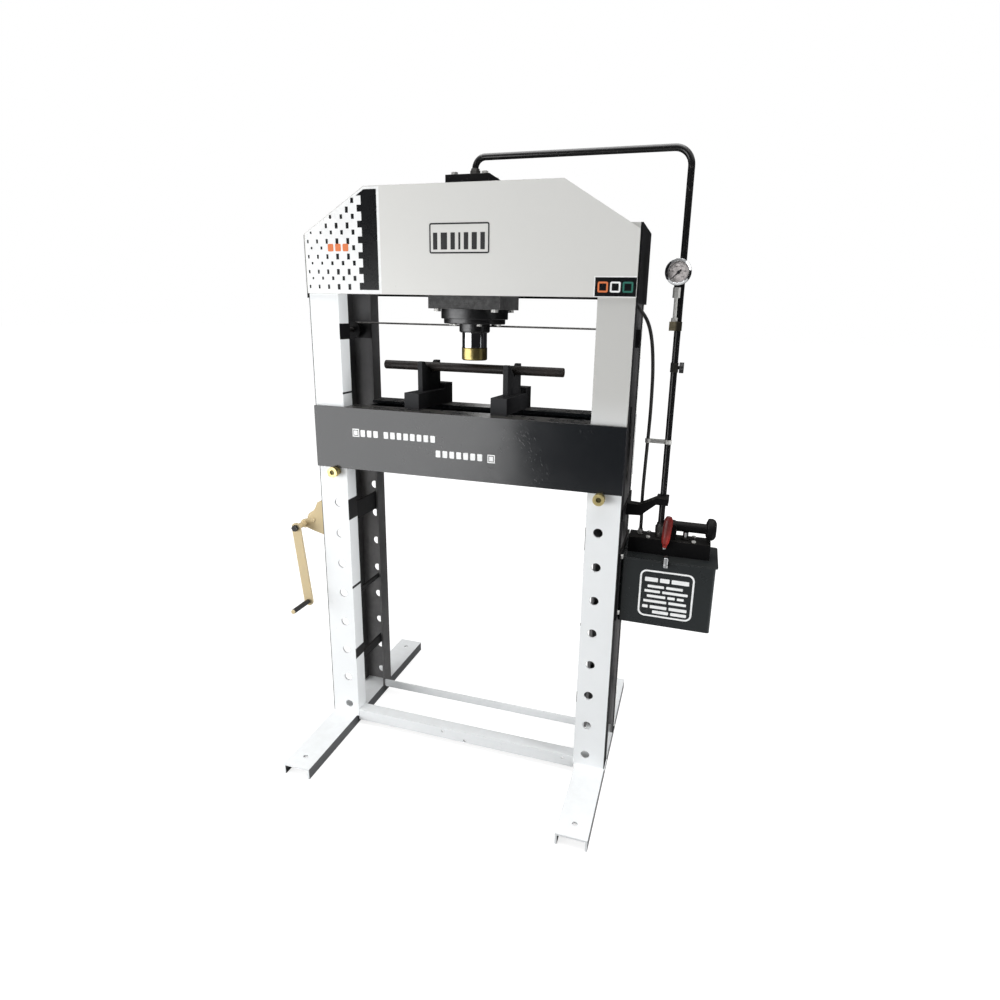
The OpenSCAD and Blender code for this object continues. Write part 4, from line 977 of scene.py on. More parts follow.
# ---- the stage ----
class PRESS_OT_stage(bpy.types.Operator):
    """Sets the camera, the lamps, the pale floor and the surroundings"""

    bl_idname = "press.stage"
    bl_label = "Camera and stage"

    sensor_width = 36.0
    clip = (0.01, 200.0)
    floor_reach = 40.0
    floor_tone = (0.36, 0.36, 0.36, 1.0)
    floor_glow = 0.82
    fade_to_white = (1.0, 3.0)
    card_distance = 3.4
    card_low, card_high = 0.05, 3.2
    card_tone = (0.02, 0.02, 0.022, 1.0)
    card_spans = (("dark_card_right", -15.0, 195.0), ("dark_card_left", -160.0, -15.0))
    # Name, place, what it points at, width and height, the choice of power, and whether gloss shows it.
    lamps = (
        ("key_softbox", (-1.806, -1.870, 0.74), (0.0, 0.0, 0.74), (3.12, 1.45), "key_power", True),
        ("front_lamp", (-2.3, -3.0, 1.5), (-0.2, 0.0, 0.9), (1.6, 1.6), "front_power", False),
        ("side_lamp", (2.7, -0.34, 1.0), (-0.39, 0.0, 0.9), (0.7, 1.1), "side_power", False),
        ("top_softbox", (-0.2, -0.3, 5.0), (-0.2, -0.3, 0.0), (4.0, 4.0), "top_power", True),
    )

    def execute(self, context):
        stage = context.scene.press_stage
        self.set_camera(context, stage)
        self.set_world(context, stage)
        self.lay_floor(context)
        self.hang_cards(context)
        for name, place, target, size, power, in_gloss in self.lamps:
            self.place_lamp(context, name, place, target, size, getattr(stage, power), in_gloss)
        context.scene.view_settings.view_transform = "Standard"
        return {"FINISHED"}

    def set_camera(self, context, stage):
        turn, tilt, roll = stage.camera_turn, stage.camera_tilt, stage.camera_roll
        level = math.cos(tilt)
        ahead = Vector((-math.sin(turn) * level, math.cos(turn) * level, -math.sin(tilt)))
        right = Vector((math.cos(turn), math.sin(turn), 0.0))
        up = right.cross(ahead)
        side = right * math.cos(roll) + up * math.sin(roll)
        head = up * math.cos(roll) - right * math.sin(roll)
        data = bpy.data.cameras.new("view")
        data.lens = stage.lens
        data.sensor_width = self.sensor_width
        data.sensor_fit = "HORIZONTAL"
        data.shift_x, data.shift_y = stage.shift
        data.clip_start, data.clip_end = self.clip
        camera = bpy.data.objects.new("view", data)
        turned = Matrix((side, head, -ahead)).transposed().to_4x4()
        camera.matrix_world = Matrix.Translation(stage.camera_place) @ turned
        context.scene.collection.objects.link(camera)
        context.scene.camera = camera

    def seen_rays(self, tree, gloss=True):
        """1 for camera and transmission rays, and for glossy ones if asked."""
        path = tree.nodes.new("ShaderNodeLightPath")
        seen = calc(tree, "MAXIMUM", path.outputs["Is Camera Ray"], path.outputs["Is Transmission Ray"])
        return calc(tree, "MAXIMUM", seen, path.outputs["Is Glossy Ray"]) if gloss else seen

    def set_world(self, context, stage):
        world = bpy.data.worlds.new("studio")
        world.use_nodes = True
        tree = world.node_tree
        seen = self.seen_rays(tree)
        strength = calc(tree, "ADD", stage.fill, calc(tree, "MULTIPLY", seen, 1.0 - stage.fill))
        tree.links.new(strength, tree.nodes["Background"].inputs["Strength"])
        tree.nodes["Background"].inputs["Color"].default_value = (1.0, 1.0, 1.0, 1.0)
        context.scene.world = world

    def stage_material(self, name):
        """A material without its first shader."""
        material = bpy.data.materials.new(name)
        material.use_nodes = True
        tree = material.node_tree
        tree.nodes.remove(tree.nodes["Principled BSDF"])
        return material, tree

    def stage_object(self, context, name, bm, material):
        mesh = bpy.data.meshes.new(name)
        bm.to_mesh(mesh)
        bm.free()
        mesh.materials.append(material)
        made = bpy.data.objects.new(name, mesh)
        context.scene.collection.objects.link(made)
        return made

    def lay_floor(self, context):
        """Matt floor that fades to white as the camera sees it, and is plain grey in every bounce."""
        material, tree = self.stage_material("studio_floor")
        near, far = self.fade_to_white
        matt = tree.nodes.new("ShaderNodeBsdfDiffuse")
        matt.inputs["Color"].default_value = self.floor_tone
        glow = tree.nodes.new("ShaderNodeEmission")
        away = vector_calc(tree, "LENGTH", object_place(tree), output="Value")
        gain = calc(tree, "MULTIPLY", smooth_step(tree, away, near, far), 1.0 - self.floor_glow)
        tree.links.new(calc(tree, "ADD", self.floor_glow, gain), glow.inputs["Strength"])
        lit = tree.nodes.new("ShaderNodeAddShader")
        tree.links.new(matt.outputs[0], lit.inputs[0])
        tree.links.new(glow.outputs[0], lit.inputs[1])
        mix = tree.nodes.new("ShaderNodeMixShader")
        tree.links.new(self.seen_rays(tree, gloss=False), mix.inputs[0])
        tree.links.new(matt.outputs[0], mix.inputs[1])
        tree.links.new(lit.outputs[0], mix.inputs[2])
        tree.links.new(mix.outputs[0], tree.nodes["Material Output"].inputs["Surface"])
        bm = bmesh.new()
        bmesh.ops.create_grid(bm, x_segments=1, y_segments=1, size=self.floor_reach)
        floor = self.stage_object(context, "floor", bm, material)

    def hang_cards(self, context):
        """Dark cards all round, seen only in gloss; the key lamp stands in front of them."""
        material, tree = self.stage_material("dark_card")
        glow = tree.nodes.new("ShaderNodeEmission")
        glow.inputs["Color"].default_value = self.card_tone
        tree.links.new(glow.outputs[0], tree.nodes["Material Output"].inputs["Surface"])
        for name, start, end in self.card_spans:
            angle = math.radians(start)
            x, y = self.card_distance * math.sin(angle), -self.card_distance * math.cos(angle)
            bm = bmesh.new()
            low = bm.verts.new((x, y, self.card_low))
            high = bm.verts.new((x, y, self.card_high))
            edge = bm.edges.new((low, high))
            sweep = math.radians(end - start)
            bmesh.ops.spin(bm, geom=[low, high, edge], cent=(0, 0, 0), axis=UP, angle=sweep, steps=24)
            card = self.stage_object(context, name, bm, material)
            card.visible_camera = False
            card.visible_diffuse = False
            card.visible_shadow = False
            card.visible_transmission = False

    def place_lamp(self, context, name, place, target, size, power, in_gloss):
        data = bpy.data.lights.new(name, "AREA")
        data.shape = "RECTANGLE"
        data.size, data.size_y = size
        data.energy = power
        lamp = bpy.data.objects.new(name, data)
        lamp.location = place
        direction = Vector(target) - Vector(place)
        lamp.rotation_euler = direction.to_track_quat("-Z", "Y").to_euler()
        lamp.visible_camera = False
        lamp.visible_glossy = in_gloss
        context.scene.collection.objects.link(lamp)


# ---- the pieces ----
# X and Z of the hose's middle line in millimetres, from the cylinder to the pump.
HOSE_ROUTE = (
    (86, 1500), (180, 1500), (290, 1500), (380, 1499), (430, 1491), (462, 1475),
    (488, 1453), (508, 1427), (521, 1395), (530, 1350), (536, 1285), (538, 1212),
    (538, 1145), (536, 1050), (534, 960), (534, 890), (536, 850), (536, 816),
)


class PRESS_OT_return_hose(bpy.types.Operator):
    """Hangs the return hose from the cylinder down to the pump"""

    bl_idname = "press.return_hose"
    bl_label = "Return hose"

    def execute(self, context):
        radius = context.scene.press_sizes.hose_radius
        line = flowing_points([(x * MM, 0.0, z * MM) for x, z in HOSE_ROUTE], 3)
        hose = curve_along("return_hose_line", [line], radius)
        hose.data.materials.append(finish("hose_rubber"))
        hose.data.bevel_resolution = 5
        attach(hose, "frame")
        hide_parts("return_hose")
        coat_nodes("bright_steel", "hose_fittings", "hose_clip")
        return {"FINISHED"}


class PRESS_OT_frame_paint(bpy.types.Operator):
    """Paints the welded frame: feet, uprights, rails and head"""

    bl_idname = "press.frame_paint"
    bl_label = "Frame paint"

    def execute(self, context):
        coat_nodes("frame_white", "feet", "front_rail", "rear_rail")
        coat_nodes("upright_two_tone", "uprights_front")
        coat_nodes("rear_black", "uprights_rear")
        coat_nodes("head_grey", "head_front_plate")
        coat_nodes("frame_black", "head_rear_plate", "head_sides", "head_stiffeners")
        coat_nodes("frame_black", "upright_ties", "sheave_plates")
        return {"FINISHED"}


class PRESS_OT_weld_beads(bpy.types.Operator):
    """Lays the weld beads at the feet, the rails and the head"""

    bl_idname = "press.weld_beads"
    bl_label = "Weld beads"

    inner, outer = 388 * MM, 488 * MM
    upright_face, upright_back = 120 * MM, 70 * MM
    foot_top = 36 * MM
    rail_low, rail_high = 37 * MM, 58 * MM
    # The short black weld at each lower corner of the head's front.
    tack_x, tack_y, tack_low, tack_high = 487, -127 * MM, 1482 * MM, 1484 * MM
    ripple = 0.0032
    least_swell, swell_range = 0.82, 0.30

    def execute(self, context):
        bead = context.scene.press_sizes.bead
        self.dice = random.Random(7)
        white, black = [], []
        for side in (-1, 1):
            white.append(self.foot_seam(side, -1))
            black.append(self.foot_seam(side, 1))
            rail_end = (side * self.inner, -self.upright_face)
            white.append([(*rail_end, self.rail_low), (*rail_end, self.rail_high)])
            tack = (side * self.tack_x * MM, self.tack_y + bead)
            black.append([(*tack, self.tack_low), (*tack, self.tack_high)])
        self.lay_seams("welds_front", white, bead, "frame_white", "white_paint")
        self.lay_seams("welds_rear", black, bead, "rear_black", "black_paint")
        return {"FINISHED"}

    def foot_seam(self, side, front):
        """Round three sides of an upright, where it stands on its foot."""
        inner, outer = side * self.inner, side * self.outer
        face, back, top = front * self.upright_face, front * self.upright_back, self.foot_top
        return [(inner, back, top), (inner, face, top), (outer, face, top), (outer, back, top)]

    def lay_seams(self, name, seams, bead, coat, slot):
        lines, swell = [], []
        for seam in seams:
            line, _ = even_points(seam, self.ripple)
            lines.append(line)
            swell.append([self.least_swell + self.swell_range * self.dice.random() for _ in line])
        made = curve_along(name + "_line", lines, bead, swell=swell)
        made.data.bevel_resolution = 1
        add_piece(name, mesh_of_curve(made), coat, "frame", smooth=60)


class PRESS_OT_head_print(bpy.types.Operator):
    """Prints the block pattern, the band, the bare name frame and the colour marks on the head"""

    bl_idname = "press.head_print"
    bl_label = "Head print"

    plate_face = -0.126
    field_outline = (
        (-0.4856, 1.4812), (-0.2400, 1.4812), (-0.2400, 1.7682), (-0.2886, 1.7682), (-0.4856, 1.6468)
    )
    band_low, band_high = 1.4915, 1.7620
    band_right, band_corner = -0.2480, -0.2870
    tab, notch, half_tab = -0.2970, -0.3106, 0.012
    notch_top = 1.7475
    rows = 6
    # Upper row of each kind, and each column's place, width and height in millimetres.
    short_blocks = 1.7341, (
        (-325.4, 9.1, 13.7), (-362.5, 8.1, 12.2), (-397.8, 7.0, 10.2), (-432.0, 6.0, 8.2),
        (-465.0, 5.2, 6.6),
    )
    tall_blocks = 1.7101, (
        (-343.6, 9.0, 16.4), (-379.3, 9.0, 15.6), (-413.3, 6.8, 13.0), (-445.3, 5.8, 11.0),
        (-476.4, 5.0, 9.6),
    )
    least_share = 0.7
    corner_gap = 0.0022
    slope_start, slope_height, slope = -0.288, 1.7708, 0.616
    # Left, right, bottom and top of the name's bare field and of its border, each with its corner.
    name_outer = (-0.0905, 0.0905, 1.5880, 1.6725, 0.008)
    name_inner = (-0.0880, 0.0880, 1.5905, 1.6700, 0.006)
    name_line = 0.0042
    name_low, name_high = 1.6010, 1.6450
    name_bars = (0.0130, 0.0190, 0.0130, 0.0060, 0.0130, 0.0150, 0.0130)
    name_left, name_gap = -0.0770, 0.0100
    marks_border, marks_field = (0.3772, 0.4876, 1.4806, 1.5335), (0.3805, 0.4876, 1.4826, 1.5302)
    marks = (("orange", 0.4010), ("white", 0.4335), ("green", 0.4660))
    mark_half, mark_low, mark_high, mark_corner, mark_line = 0.0135, 1.4925, 1.5195, 0.004, 0.0045
    small_marks = (-0.4105, -0.3860, -0.3615)
    small_width, small_low, small_high, small_corner = 0.0185, 1.5982, 1.6188, 0.003
    bare_left, bare_right, bare_middle, bare_half = -0.416, -0.337, 1.6079, 0.006

    def execute(self, context):
        sizes = context.scene.press_sizes
        self.film = sizes.film
        self.pitch = sizes.row_pitch
        self.print_field()
        self.print_band_and_blocks()
        self.print_name_frame()
        self.print_colour_marks()
        return {"FINISHED"}

    def front_of(self, number):
        """Front of a printed coat; a higher number lies over a lower one."""
        return self.plate_face - self.film * number

    def coat(self, outline, number, border=None):
        """A coat of that number, from just inside the plate to its front."""
        return outline, self.plate_face + PRINT_ROOT, self.front_of(number), border

    def chamfer(self, x):
        """Height of the head's sloping corner at that place."""
        return self.slope_height + self.slope * (x - self.slope_start)

    def print_field(self):
        print_piece("head_field", [self.coat(self.field_outline, 1)], "print_white")

    def print_band_and_blocks(self):
        outline = [(self.band_right, self.band_low), (self.band_right, self.band_high),
                   (self.band_corner, self.band_high), (self.notch, self.notch_top)]
        for row in range(self.rows):
            middle = self.short_blocks[0] - self.pitch * row
            top, bottom = middle + self.half_tab, middle - self.half_tab
            outline += [(self.notch, top), (self.tab, top), (self.tab, bottom), (self.notch, bottom)]
        outline.append((self.notch, self.band_low))
        coats = [self.coat(outline, 2)]
        for first, columns in (self.short_blocks, self.tall_blocks):
            for row in range(self.rows):
                for column in columns:
                    block = self.block(first - self.pitch * row, *(size * MM for size in column))
                    if block:
                        coats.append(self.coat(block, 2))
        print_piece("head_band_and_blocks", coats, "print_black")

    def block(self, middle, x, width, height):
        """A block's outline, cut off under the sloping corner, or None where no block fits."""
        left, bottom = x - width / 2, middle - height / 2
        top = min(middle + height / 2, self.chamfer(left) - self.corner_gap)
        if top - bottom < self.least_share * height or self.marked(x, middle):
            return None
        return rectangle(left, x + width / 2, bottom, top)

    def marked(self, x, z):
        """Whether the small orange marks lie there."""
        return self.bare_left < x < self.bare_right and abs(z - self.bare_middle) < self.bare_half

    def print_name_frame(self):
        field = self.coat(rounded_outline(*self.name_outer), 1)
        print_piece("name_field", [field], "head_grey")
        coats = [self.coat(rounded_outline(*self.name_inner), 2, border=self.name_line)]
        left = self.name_left
        for width in self.name_bars:
            coats.append(self.coat(rectangle(left, left + width, self.name_low, self.name_high), 2))
            left += width + self.name_gap
        print_piece("name_border", coats, "print_grey")

    def print_colour_marks(self):
        border = self.coat(rectangle(*self.marks_border), 1)
        print_piece("mark_border", [border], "print_white")
        field = self.coat(rectangle(*self.marks_field), 2)
        print_piece("mark_field", [field], "print_black")
        for colour, x in self.marks:
            left, right = x - self.mark_half, x + self.mark_half
            ring = rounded_outline(left, right, self.mark_low, self.mark_high, self.mark_corner)
            coats = [self.coat(ring, 3, border=self.mark_line)]
            if colour == "orange":
                for left in self.small_marks:
                    right = left + self.small_width
                    low, high = self.small_low, self.small_high
                    small = rounded_outline(left, right, low, high, self.small_corner, steps=2)
                    coats.append(self.coat(small, 3))
            print_piece("mark_" + colour, coats, "print_" + colour)


class PRESS_OT_cylinder(bpy.types.Operator):
    """Finishes the cylinder, its mount plate, the ram and its brass tip"""

    bl_idname = "press.cylinder"
    bl_label = "Cylinder and ram"

    # Radius and height of the wiper's lip round the ram.
    lip = ((0.0392, 1.3776), (0.0396, 1.3764), (0.0412, 1.3758), (0.0430, 1.3762), (0.0436, 1.3776))

    def execute(self, context):
        coat_nodes("plate_grey", "cylinder_mount_plate")
        coat_nodes("bright_steel", "cylinder_bolts")
        coat_nodes("frame_black", "cylinder_barrel", "cylinder_cap")
        coat_nodes("burnished_steel", "cylinder_flange", "gland")
        coat_nodes("chrome", "ram")
        coat_nodes("tip_brass", "ram_tip")
        bm = bmesh.new()
        add_turned(bm, self.lip, (0, 0, 0), steps=72, closed=True)
        add_piece("ram_wiper", bm, "moulded_black", "frame", smooth=40)
        return {"FINISHED"}


class PRESS_OT_pipework(bpy.types.Operator):
    """Finishes the pressure pipe, its blocks, fittings and bracket"""

    bl_idname = "press.pipework"
    bl_label = "Pipework"

    def execute(self, context):
        coat_nodes("pipe_black", "pressure_pipe")
        coat_nodes("dark_steel", "pipe_fittings")
        coat_nodes("old_brass", "pipe_blocks")
        coat_nodes("cast_black", "pipe_bracket")
        coat_nodes("moulded_black", "shutoff_knob")
        return {"FINISHED"}


class PRESS_OT_gauge(bpy.types.Operator):
    """Finishes the pressure gauge and draws its dial"""

    bl_idname = "press.gauge"
    bl_label = "Pressure gauge"

    middle = (0.585, 1.549)
    dial_y, rim_y = -0.032, -0.0500
    sweep_start, sweep = 225.0, 270.0
    print_depth = 0.00012
    # Half width of a tick, and the radius at which it starts.
    main_tick = (0.00040, 0.0204)
    fine_tick = (0.00020, 0.0227)
    tick_end = 0.0258
    ticks_to_numeral, bar_to_numeral = 10, 100
    ring_radius, ring_width, ring_steps = 0.0265, 0.0004, 64
    numeral_radius, numeral_size, numeral_depth = 0.0161, 0.0049, 0.00006
    # Radius and height of the dished ring between the bezel's edge and the glass.
    rim = ((0.0277, 0.0002), (0.0331, 0.0022), (0.0338, 0.0019), (0.0341, 0.0010), (0.0339, -0.0002))

    def execute(self, context):
        coat_nodes("frame_black", "gauge_case")
        coat_nodes("chrome", "gauge_bezel")
        coat_nodes("bright_steel", "gauge_stem")
        coat_nodes("dial_face", "gauge_dial")
        coat_nodes("clear_glass", "gauge_glass")
        coat_nodes("moulded_black", "gauge_needle")
        self.draw_dial(context.scene.press_sizes.dial_ticks)
        bm = bmesh.new()
        x, z = self.middle
        add_turned(bm, self.rim, (x, self.rim_y, z), FORWARD, steps=96, closed=True)
        add_piece("gauge_rim", bm, "chrome", "frame", smooth=35)
        return {"FINISHED"}

    def at(self, share, radius):
        angle = math.radians(self.sweep_start - self.sweep * share)
        return self.middle[0] + radius * math.cos(angle), self.middle[1] + radius * math.sin(angle)

    def draw_dial(self, ticks):
        bm = bmesh.new()
        back, front = self.dial_y + PRINT_ROOT, self.dial_y - self.print_depth
        for k in range(ticks + 1):
            half, start = self.fine_tick if k % self.ticks_to_numeral else self.main_tick
            inner, outer = self.at(k / ticks, start), self.at(k / ticks, self.tick_end)
            along = Vector((outer[0] - inner[0], outer[1] - inner[1])).normalized()
            side = Vector((-along.y, along.x)) * half
            inner, outer = Vector(inner), Vector(outer)
            corners = [inner - side, inner + side, outer + side, outer - side]
            add_coat(bm, [tuple(c) for c in corners], back, front)
        steps = self.ring_steps
        ring = [self.at(k / steps * 360 / self.sweep, self.ring_radius) for k in range(steps)]
        add_coat(bm, ring, back, front, border=self.ring_width)
        for k in range(ticks // self.ticks_to_numeral + 1):
            x, z = self.at(k * self.ticks_to_numeral / ticks, self.numeral_radius)
            self.add_numeral(bm, str(self.bar_to_numeral * k), (x, front, z))
        bmesh.ops.recalc_face_normals(bm, faces=bm.faces)
        add_piece("dial_print", bm, "print_black", "frame")

    def add_numeral(self, bm, text, place):
        """Sets a number on the dial, flat on its face."""
        curve = bpy.data.curves.new("numeral", "FONT")
        curve.body = text
        curve.size = self.numeral_size
        curve.align_x, curve.align_y = "CENTER", "CENTER"
        curve.extrude = self.numeral_depth
        made = bpy.data.objects.new("numeral", curve)
        bpy.context.scene.collection.objects.link(made)
        flat = mesh_of_curve(made)
        upright = Matrix.Translation(place) @ Matrix.Rotation(math.radians(90), 4, "X")
        bmesh.ops.transform(flat, matrix=upright, verts=flat.verts)
        mesh = bpy.data.meshes.new("numeral")
        flat.to_mesh(mesh)
        flat.free()
        bm.from_mesh(mesh)
        bpy.data.meshes.remove(mesh)


class PRESS_OT_tank(bpy.types.Operator):
    """Finishes the oil tank, its lid, its plate and its printed panel"""

    bl_idname = "press.tank"
    bl_label = "Oil tank"

    face = -0.089
    # Left, right, bottom, top and corner.
    border = (0.5515, 0.7055, 0.5760, 0.7225, 0.019)
    border_width, bar_corner = 0.0052, 0.0018
    # Middle height, thickness and spans of each row of plain bars.
    rows = (
        (0.6935, 0.0130, ((0.566, 0.603), (0.609, 0.636), (0.642, 0.691))),
        (0.6725, 0.0080, ((0.575, 0.622), (0.628, 0.675))),
        (0.6570, 0.0080, ((0.567, 0.612), (0.618, 0.690))),
        (0.6415, 0.0080, ((0.575, 0.628), (0.634, 0.655), (0.661, 0.680))),
        (0.6255, 0.0080, ((0.566, 0.632), (0.638, 0.688))),
        (0.6075, 0.0095, ((0.564, 0.580), (0.586, 0.634), (0.640, 0.691))),
        (0.5920, 0.0095, ((0.594, 0.640), (0.646, 0.691))),
    )
    clamp_place = (0.6205, -0.0995, 0.0)
    lug_place, lug_size, lug_bevel = (0.6205, -0.0920, 0.7500), (0.022, 0.016, 0.010), 0.002
    # Radius and height of the clamp's button and of its grooved barrel.
    button = ((0.0, 0.7715), (0.0056, 0.7715), (0.0056, 0.7750), (0.0, 0.7756))
    barrel = ((0.0, 0.7395), (0.0062, 0.7395), (0.0080, 0.7412), (0.0080, 0.7490), (0.0074, 0.7498),
              (0.0074, 0.7506), (0.0080, 0.7514), (0.0080, 0.7700), (0.0066, 0.7718), (0.0, 0.7718))

    def execute(self, context):
        coat_nodes("tank_enamel", "tank", "tank_lid")
        coat_nodes("frame_black", "tank_plate")
        coat_nodes("bright_steel", "bracket_bolts")
        self.print_panel(context.scene.press_sizes.film)
        self.add_lid_clamp()
        return {"FINISHED"}

    def print_panel(self, film):
        """A rounded border with plain bars in rows."""
        back, front = self.face + PRINT_ROOT, self.face - film
        coats = [(rounded_outline(*self.border), back, front, self.border_width)]
        for z, height, spans in self.rows:
            low, high = z - height / 2, z + height / 2
            for start, end in spans:
                bar = rounded_outline(start, end, low, high, self.bar_corner, steps=2)
                coats.append((bar, back, front))
        print_piece("tank_panel_print", coats, "print_white")

    def add_lid_clamp(self):
        """The screw clamp at the tank's front: a short chromed barrel on a black lug."""
        bm = bmesh.new()
        shape = Matrix.Translation(self.lug_place) @ Matrix.Diagonal((*self.lug_size, 1))
        lug = bmesh.ops.create_cube(bm, size=1.0, matrix=shape)
        edges = list({e for v in lug["verts"] for e in v.link_edges})
        bmesh.ops.bevel(
            bm, geom=edges, offset=self.lug_bevel, affect="EDGES", segments=3, profile=0.5, material=-1
        )
        add_turned(bm, self.button, self.clamp_place, steps=24)
        add_piece("lid_clamp", bm, "cast_black", "frame", smooth=40)
        bm = bmesh.new()
        add_turned(bm, self.barrel, self.clamp_place, steps=40)
        add_piece("lid_clamp_barrel", bm, "chrome", "frame", smooth=35)


class PRESS_OT_pump(bpy.types.Operator):
    """Finishes the hand pump, its lever and the release handle"""

    bl_idname = "press.pump"
    bl_label = "Hand pump"

    release_foot, release_lean = (0.612, -0.057, 0.790), 4
    # Radius and height of the chromed tip under the release handle.
    tip = ((0.0, -0.0110), (0.0046, -0.0110), (0.0060, -0.0096), (0.0060, -0.0050), (0.0, -0.0050))

    def execute(self, context):
        coat_nodes("cast_black", "pump_block", "pump_lever")
        coat_nodes("chrome", "pump_plunger")
        coat_nodes("moulded_red", "release_handle")
        bm = bmesh.new()
        lean = math.radians(self.release_lean)
        add_turned(bm, self.tip, self.release_foot, (math.sin(lean), 0.0, math.cos(lean)), steps=32)
        add_piece("release_tip", bm, "chrome", "release", smooth=35)
        return {"FINISHED"}


class PRESS_OT_winch(bpy.types.Operator):
    """Finishes the hand winch, its crank and its grip"""

    bl_idname = "press.winch"
    bl_label = "Hand winch"

    def execute(self, context):
        coat_nodes("yellow_zinc", "winch_frame", "winch_drum", "crank_arm")
        coat_nodes("crank_zinc", "crank_shaft")
        coat_nodes("moulded_black", "crank_grip")
        return {"FINISHED"}


class PRESS_OT_ropes(bpy.types.Operator):
    """Lays the stranded lifting ropes over their sheaves and on the drum"""

    bl_idname = "press.ropes"
    bl_label = "Lifting ropes"

    sheave_x, sheave_z, groove = 0.446, 1.371, 0.024
    rear_y, front_y = 0.052, -0.045
    leave_rear_y, leave_front_y = -0.070, -0.084
    leave_x, leave_z = -0.5088, 0.7705
    reach_x, reach_z = -0.470, 1.341
    drop_top, ferrule_top = 1.367, 1.2043
    touch = 0.0003
    least_drop = 0.008
    drum_x, drum_z = -0.5258, 0.7545
    turns_from, turns_to, turns_radius = -0.0993, -0.0613, 0.017
    turn_pitch, steps_a_turn, coil_step = 0.0062, 36, 0.0040

    def execute(self, context):
        coat_nodes("dark_steel", "sheave_axles")
        coat_nodes("cast_black", "sheaves_left", "sheave_right")
        sizes = context.scene.press_sizes
        left, right = (-self.sheave_x, self.sheave_z), (self.sheave_x, self.sheave_z)
        drop_left, drop_right = -self.sheave_x + self.groove, self.sheave_x + self.groove
        across = (
            self.up_from_drum(self.leave_rear_y, self.rear_y)
            + arc_points(left, self.groove, 180, 90, self.rear_y)
            + arc_points(right, self.groove, 90, 0, self.rear_y)
            + [(drop_right, self.rear_y, self.drop_top)]
        )
        short = (
            self.up_from_drum(self.leave_front_y, self.front_y)
            + arc_points(left, self.groove, 180, 0, self.front_y)
            + [(drop_left, self.front_y, self.drop_top)]
        )
        runs = laid_rope("lifting_ropes", [across, short], sizes, "frame")
        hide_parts("rope_runs")
        top = self.drop_top - self.touch
        hanging = [[(x, y, top), (x, y, self.ferrule_top)]
                   for x, y in ((drop_left, self.front_y), (drop_right, self.rear_y))]
        drops = laid_rope("hanging_ropes", hanging, sizes, "frame")
        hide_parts("rope_drops")
        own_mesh(drops)
        coil = laid_rope("rope_on_drum", [self.turns()], sizes, "drum", self.coil_step)
        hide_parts("rope_coil")
        return {"FINISHED"}

    def up_from_drum(self, start_y, end_y):
        return [(self.leave_x, start_y, self.leave_z), (self.reach_x, end_y, self.reach_z)]

    def turns(self):
        """Turns side by side on the drum, from its front to its rear flange."""
        width = self.turns_to - self.turns_from
        steps = round(width / self.turn_pitch) * self.steps_a_turn
        made = []
        for k in range(steps + 1):
            angle = FULL_TURN * k / self.steps_a_turn
            x = self.drum_x + self.turns_radius * math.cos(angle)
            z = self.drum_z + self.turns_radius * math.sin(angle)
            made.append((x, self.turns_from + width * k / steps, z))
        return made


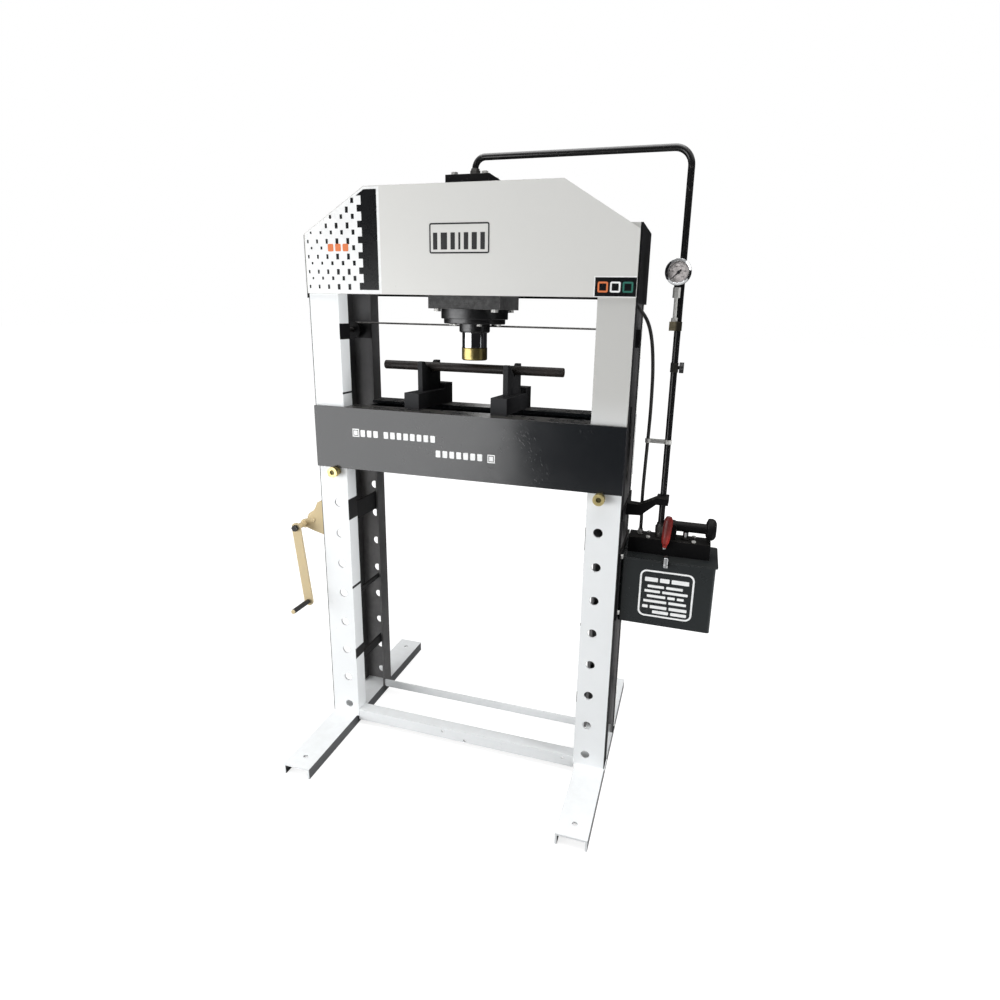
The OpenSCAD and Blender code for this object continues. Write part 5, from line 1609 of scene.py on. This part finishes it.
class PRESS_OT_table(bpy.types.Operator):
    """Finishes the table, its lugs and pins, and prints its plain marks"""

    bl_idname = "press.table"
    bl_label = "Table"

    face = -0.130
    # Left end, blocks in each group and middle height of each row.
    rows = ((-0.3270, (3, 8), 1.0650), (-0.0750, (7,), 1.0215))
    block_width, half_height, block_corner = 0.0150, 0.0105, 0.0020
    block_pitch, group_gap = 0.0222, 0.0130
    squares = ((-0.3435, 1.0655), (0.1010, 1.0205))
    # Half the width and half the height of a square's frame and of its middle, and the frame's border.
    squares_of = (((0.0115, 0.0125), 0.0030), ((0.0060, 0.0070), None))

    def execute(self, context):
        coat_nodes("table_enamel", "table_front", "table_rear", "table_spacers")
        coat_nodes("frame_black", "lifting_lugs")
        coat_nodes("pin_gold", "table_pin_left", "table_pin_right")
        self.print_marks(context.scene.press_sizes.film)
        return {"FINISHED"}

    def print_marks(self, film):
        """Two rows of small plain blocks, each with a framed square at its end."""
        back, front = self.face + PRINT_ROOT, self.face - film
        coats = []
        for x, groups, z in self.rows:
            low, high = z - self.half_height, z + self.half_height
            for count in groups:
                for _ in range(count):
                    block = rounded_outline(x, x + self.block_width, low, high, self.block_corner, steps=2)
                    coats.append((block, back, front))
                    x += self.block_pitch
                x += self.group_gap
        for x, z in self.squares:
            for (wide, high), border in self.squares_of:
                coats.append((rectangle(x - wide, x + wide, z - high, z + high), back, front, border))
        print_piece("table_marks", coats, "print_white", "table")


class PRESS_OT_vee_blocks(bpy.types.Operator):
    """Finishes the vee blocks and the round bar that lies on them"""

    bl_idname = "press.vee_blocks"
    bl_label = "Vee blocks and bar"

    def execute(self, context):
        coat_nodes("scaled_steel", "v_blocks")
        coat_nodes("bar_steel", "round_bar")
        return {"FINISHED"}


class PRESS_PT_panel(bpy.types.Panel):
    """Lists the steps that build the press"""

    bl_label = "Workshop press"
    bl_idname = "PRESS_PT_panel"
    bl_space_type = "VIEW_3D"
    bl_region_type = "UI"
    bl_category = "Press"

    def draw(self, context):
        for step in STEPS:
            self.layout.operator(step.bl_idname)
        for group in ("press_colours", "press_sizes", "press_stage"):
            choices = getattr(context.scene, group)
            for key in choices.bl_rna.properties.keys():
                if key not in {"rna_type", "name"}:
                    self.layout.prop(choices, key)


STEPS = (
    PRESS_OT_stage,
    PRESS_OT_return_hose,
    PRESS_OT_frame_paint,
    PRESS_OT_weld_beads,
    PRESS_OT_head_print,
    PRESS_OT_cylinder,
    PRESS_OT_pipework,
    PRESS_OT_gauge,
    PRESS_OT_tank,
    PRESS_OT_pump,
    PRESS_OT_winch,
    PRESS_OT_ropes,
    PRESS_OT_table,
    PRESS_OT_vee_blocks,
)
GROUPS = {"press_colours": PressColours, "press_sizes": PressSizes, "press_stage": PressStage}


def register():
    for kind in GROUPS.values():
        bpy.utils.register_class(kind)
    for step in STEPS:
        bpy.utils.register_class(step)
    bpy.utils.register_class(PRESS_PT_panel)
    for name, kind in GROUPS.items():
        setattr(bpy.types.Scene, name, PointerProperty(type=kind))


def unregister():
    for name in GROUPS:
        delattr(bpy.types.Scene, name)
    bpy.utils.unregister_class(PRESS_PT_panel)
    for step in reversed(STEPS):
        bpy.utils.unregister_class(step)
    for kind in GROUPS.values():
        bpy.utils.unregister_class(kind)


def main():
    register()
    for step in STEPS:
        area, name = step.bl_idname.split(".")
        getattr(getattr(bpy.ops, area), name)()


if __name__ == "__main__":
    main()
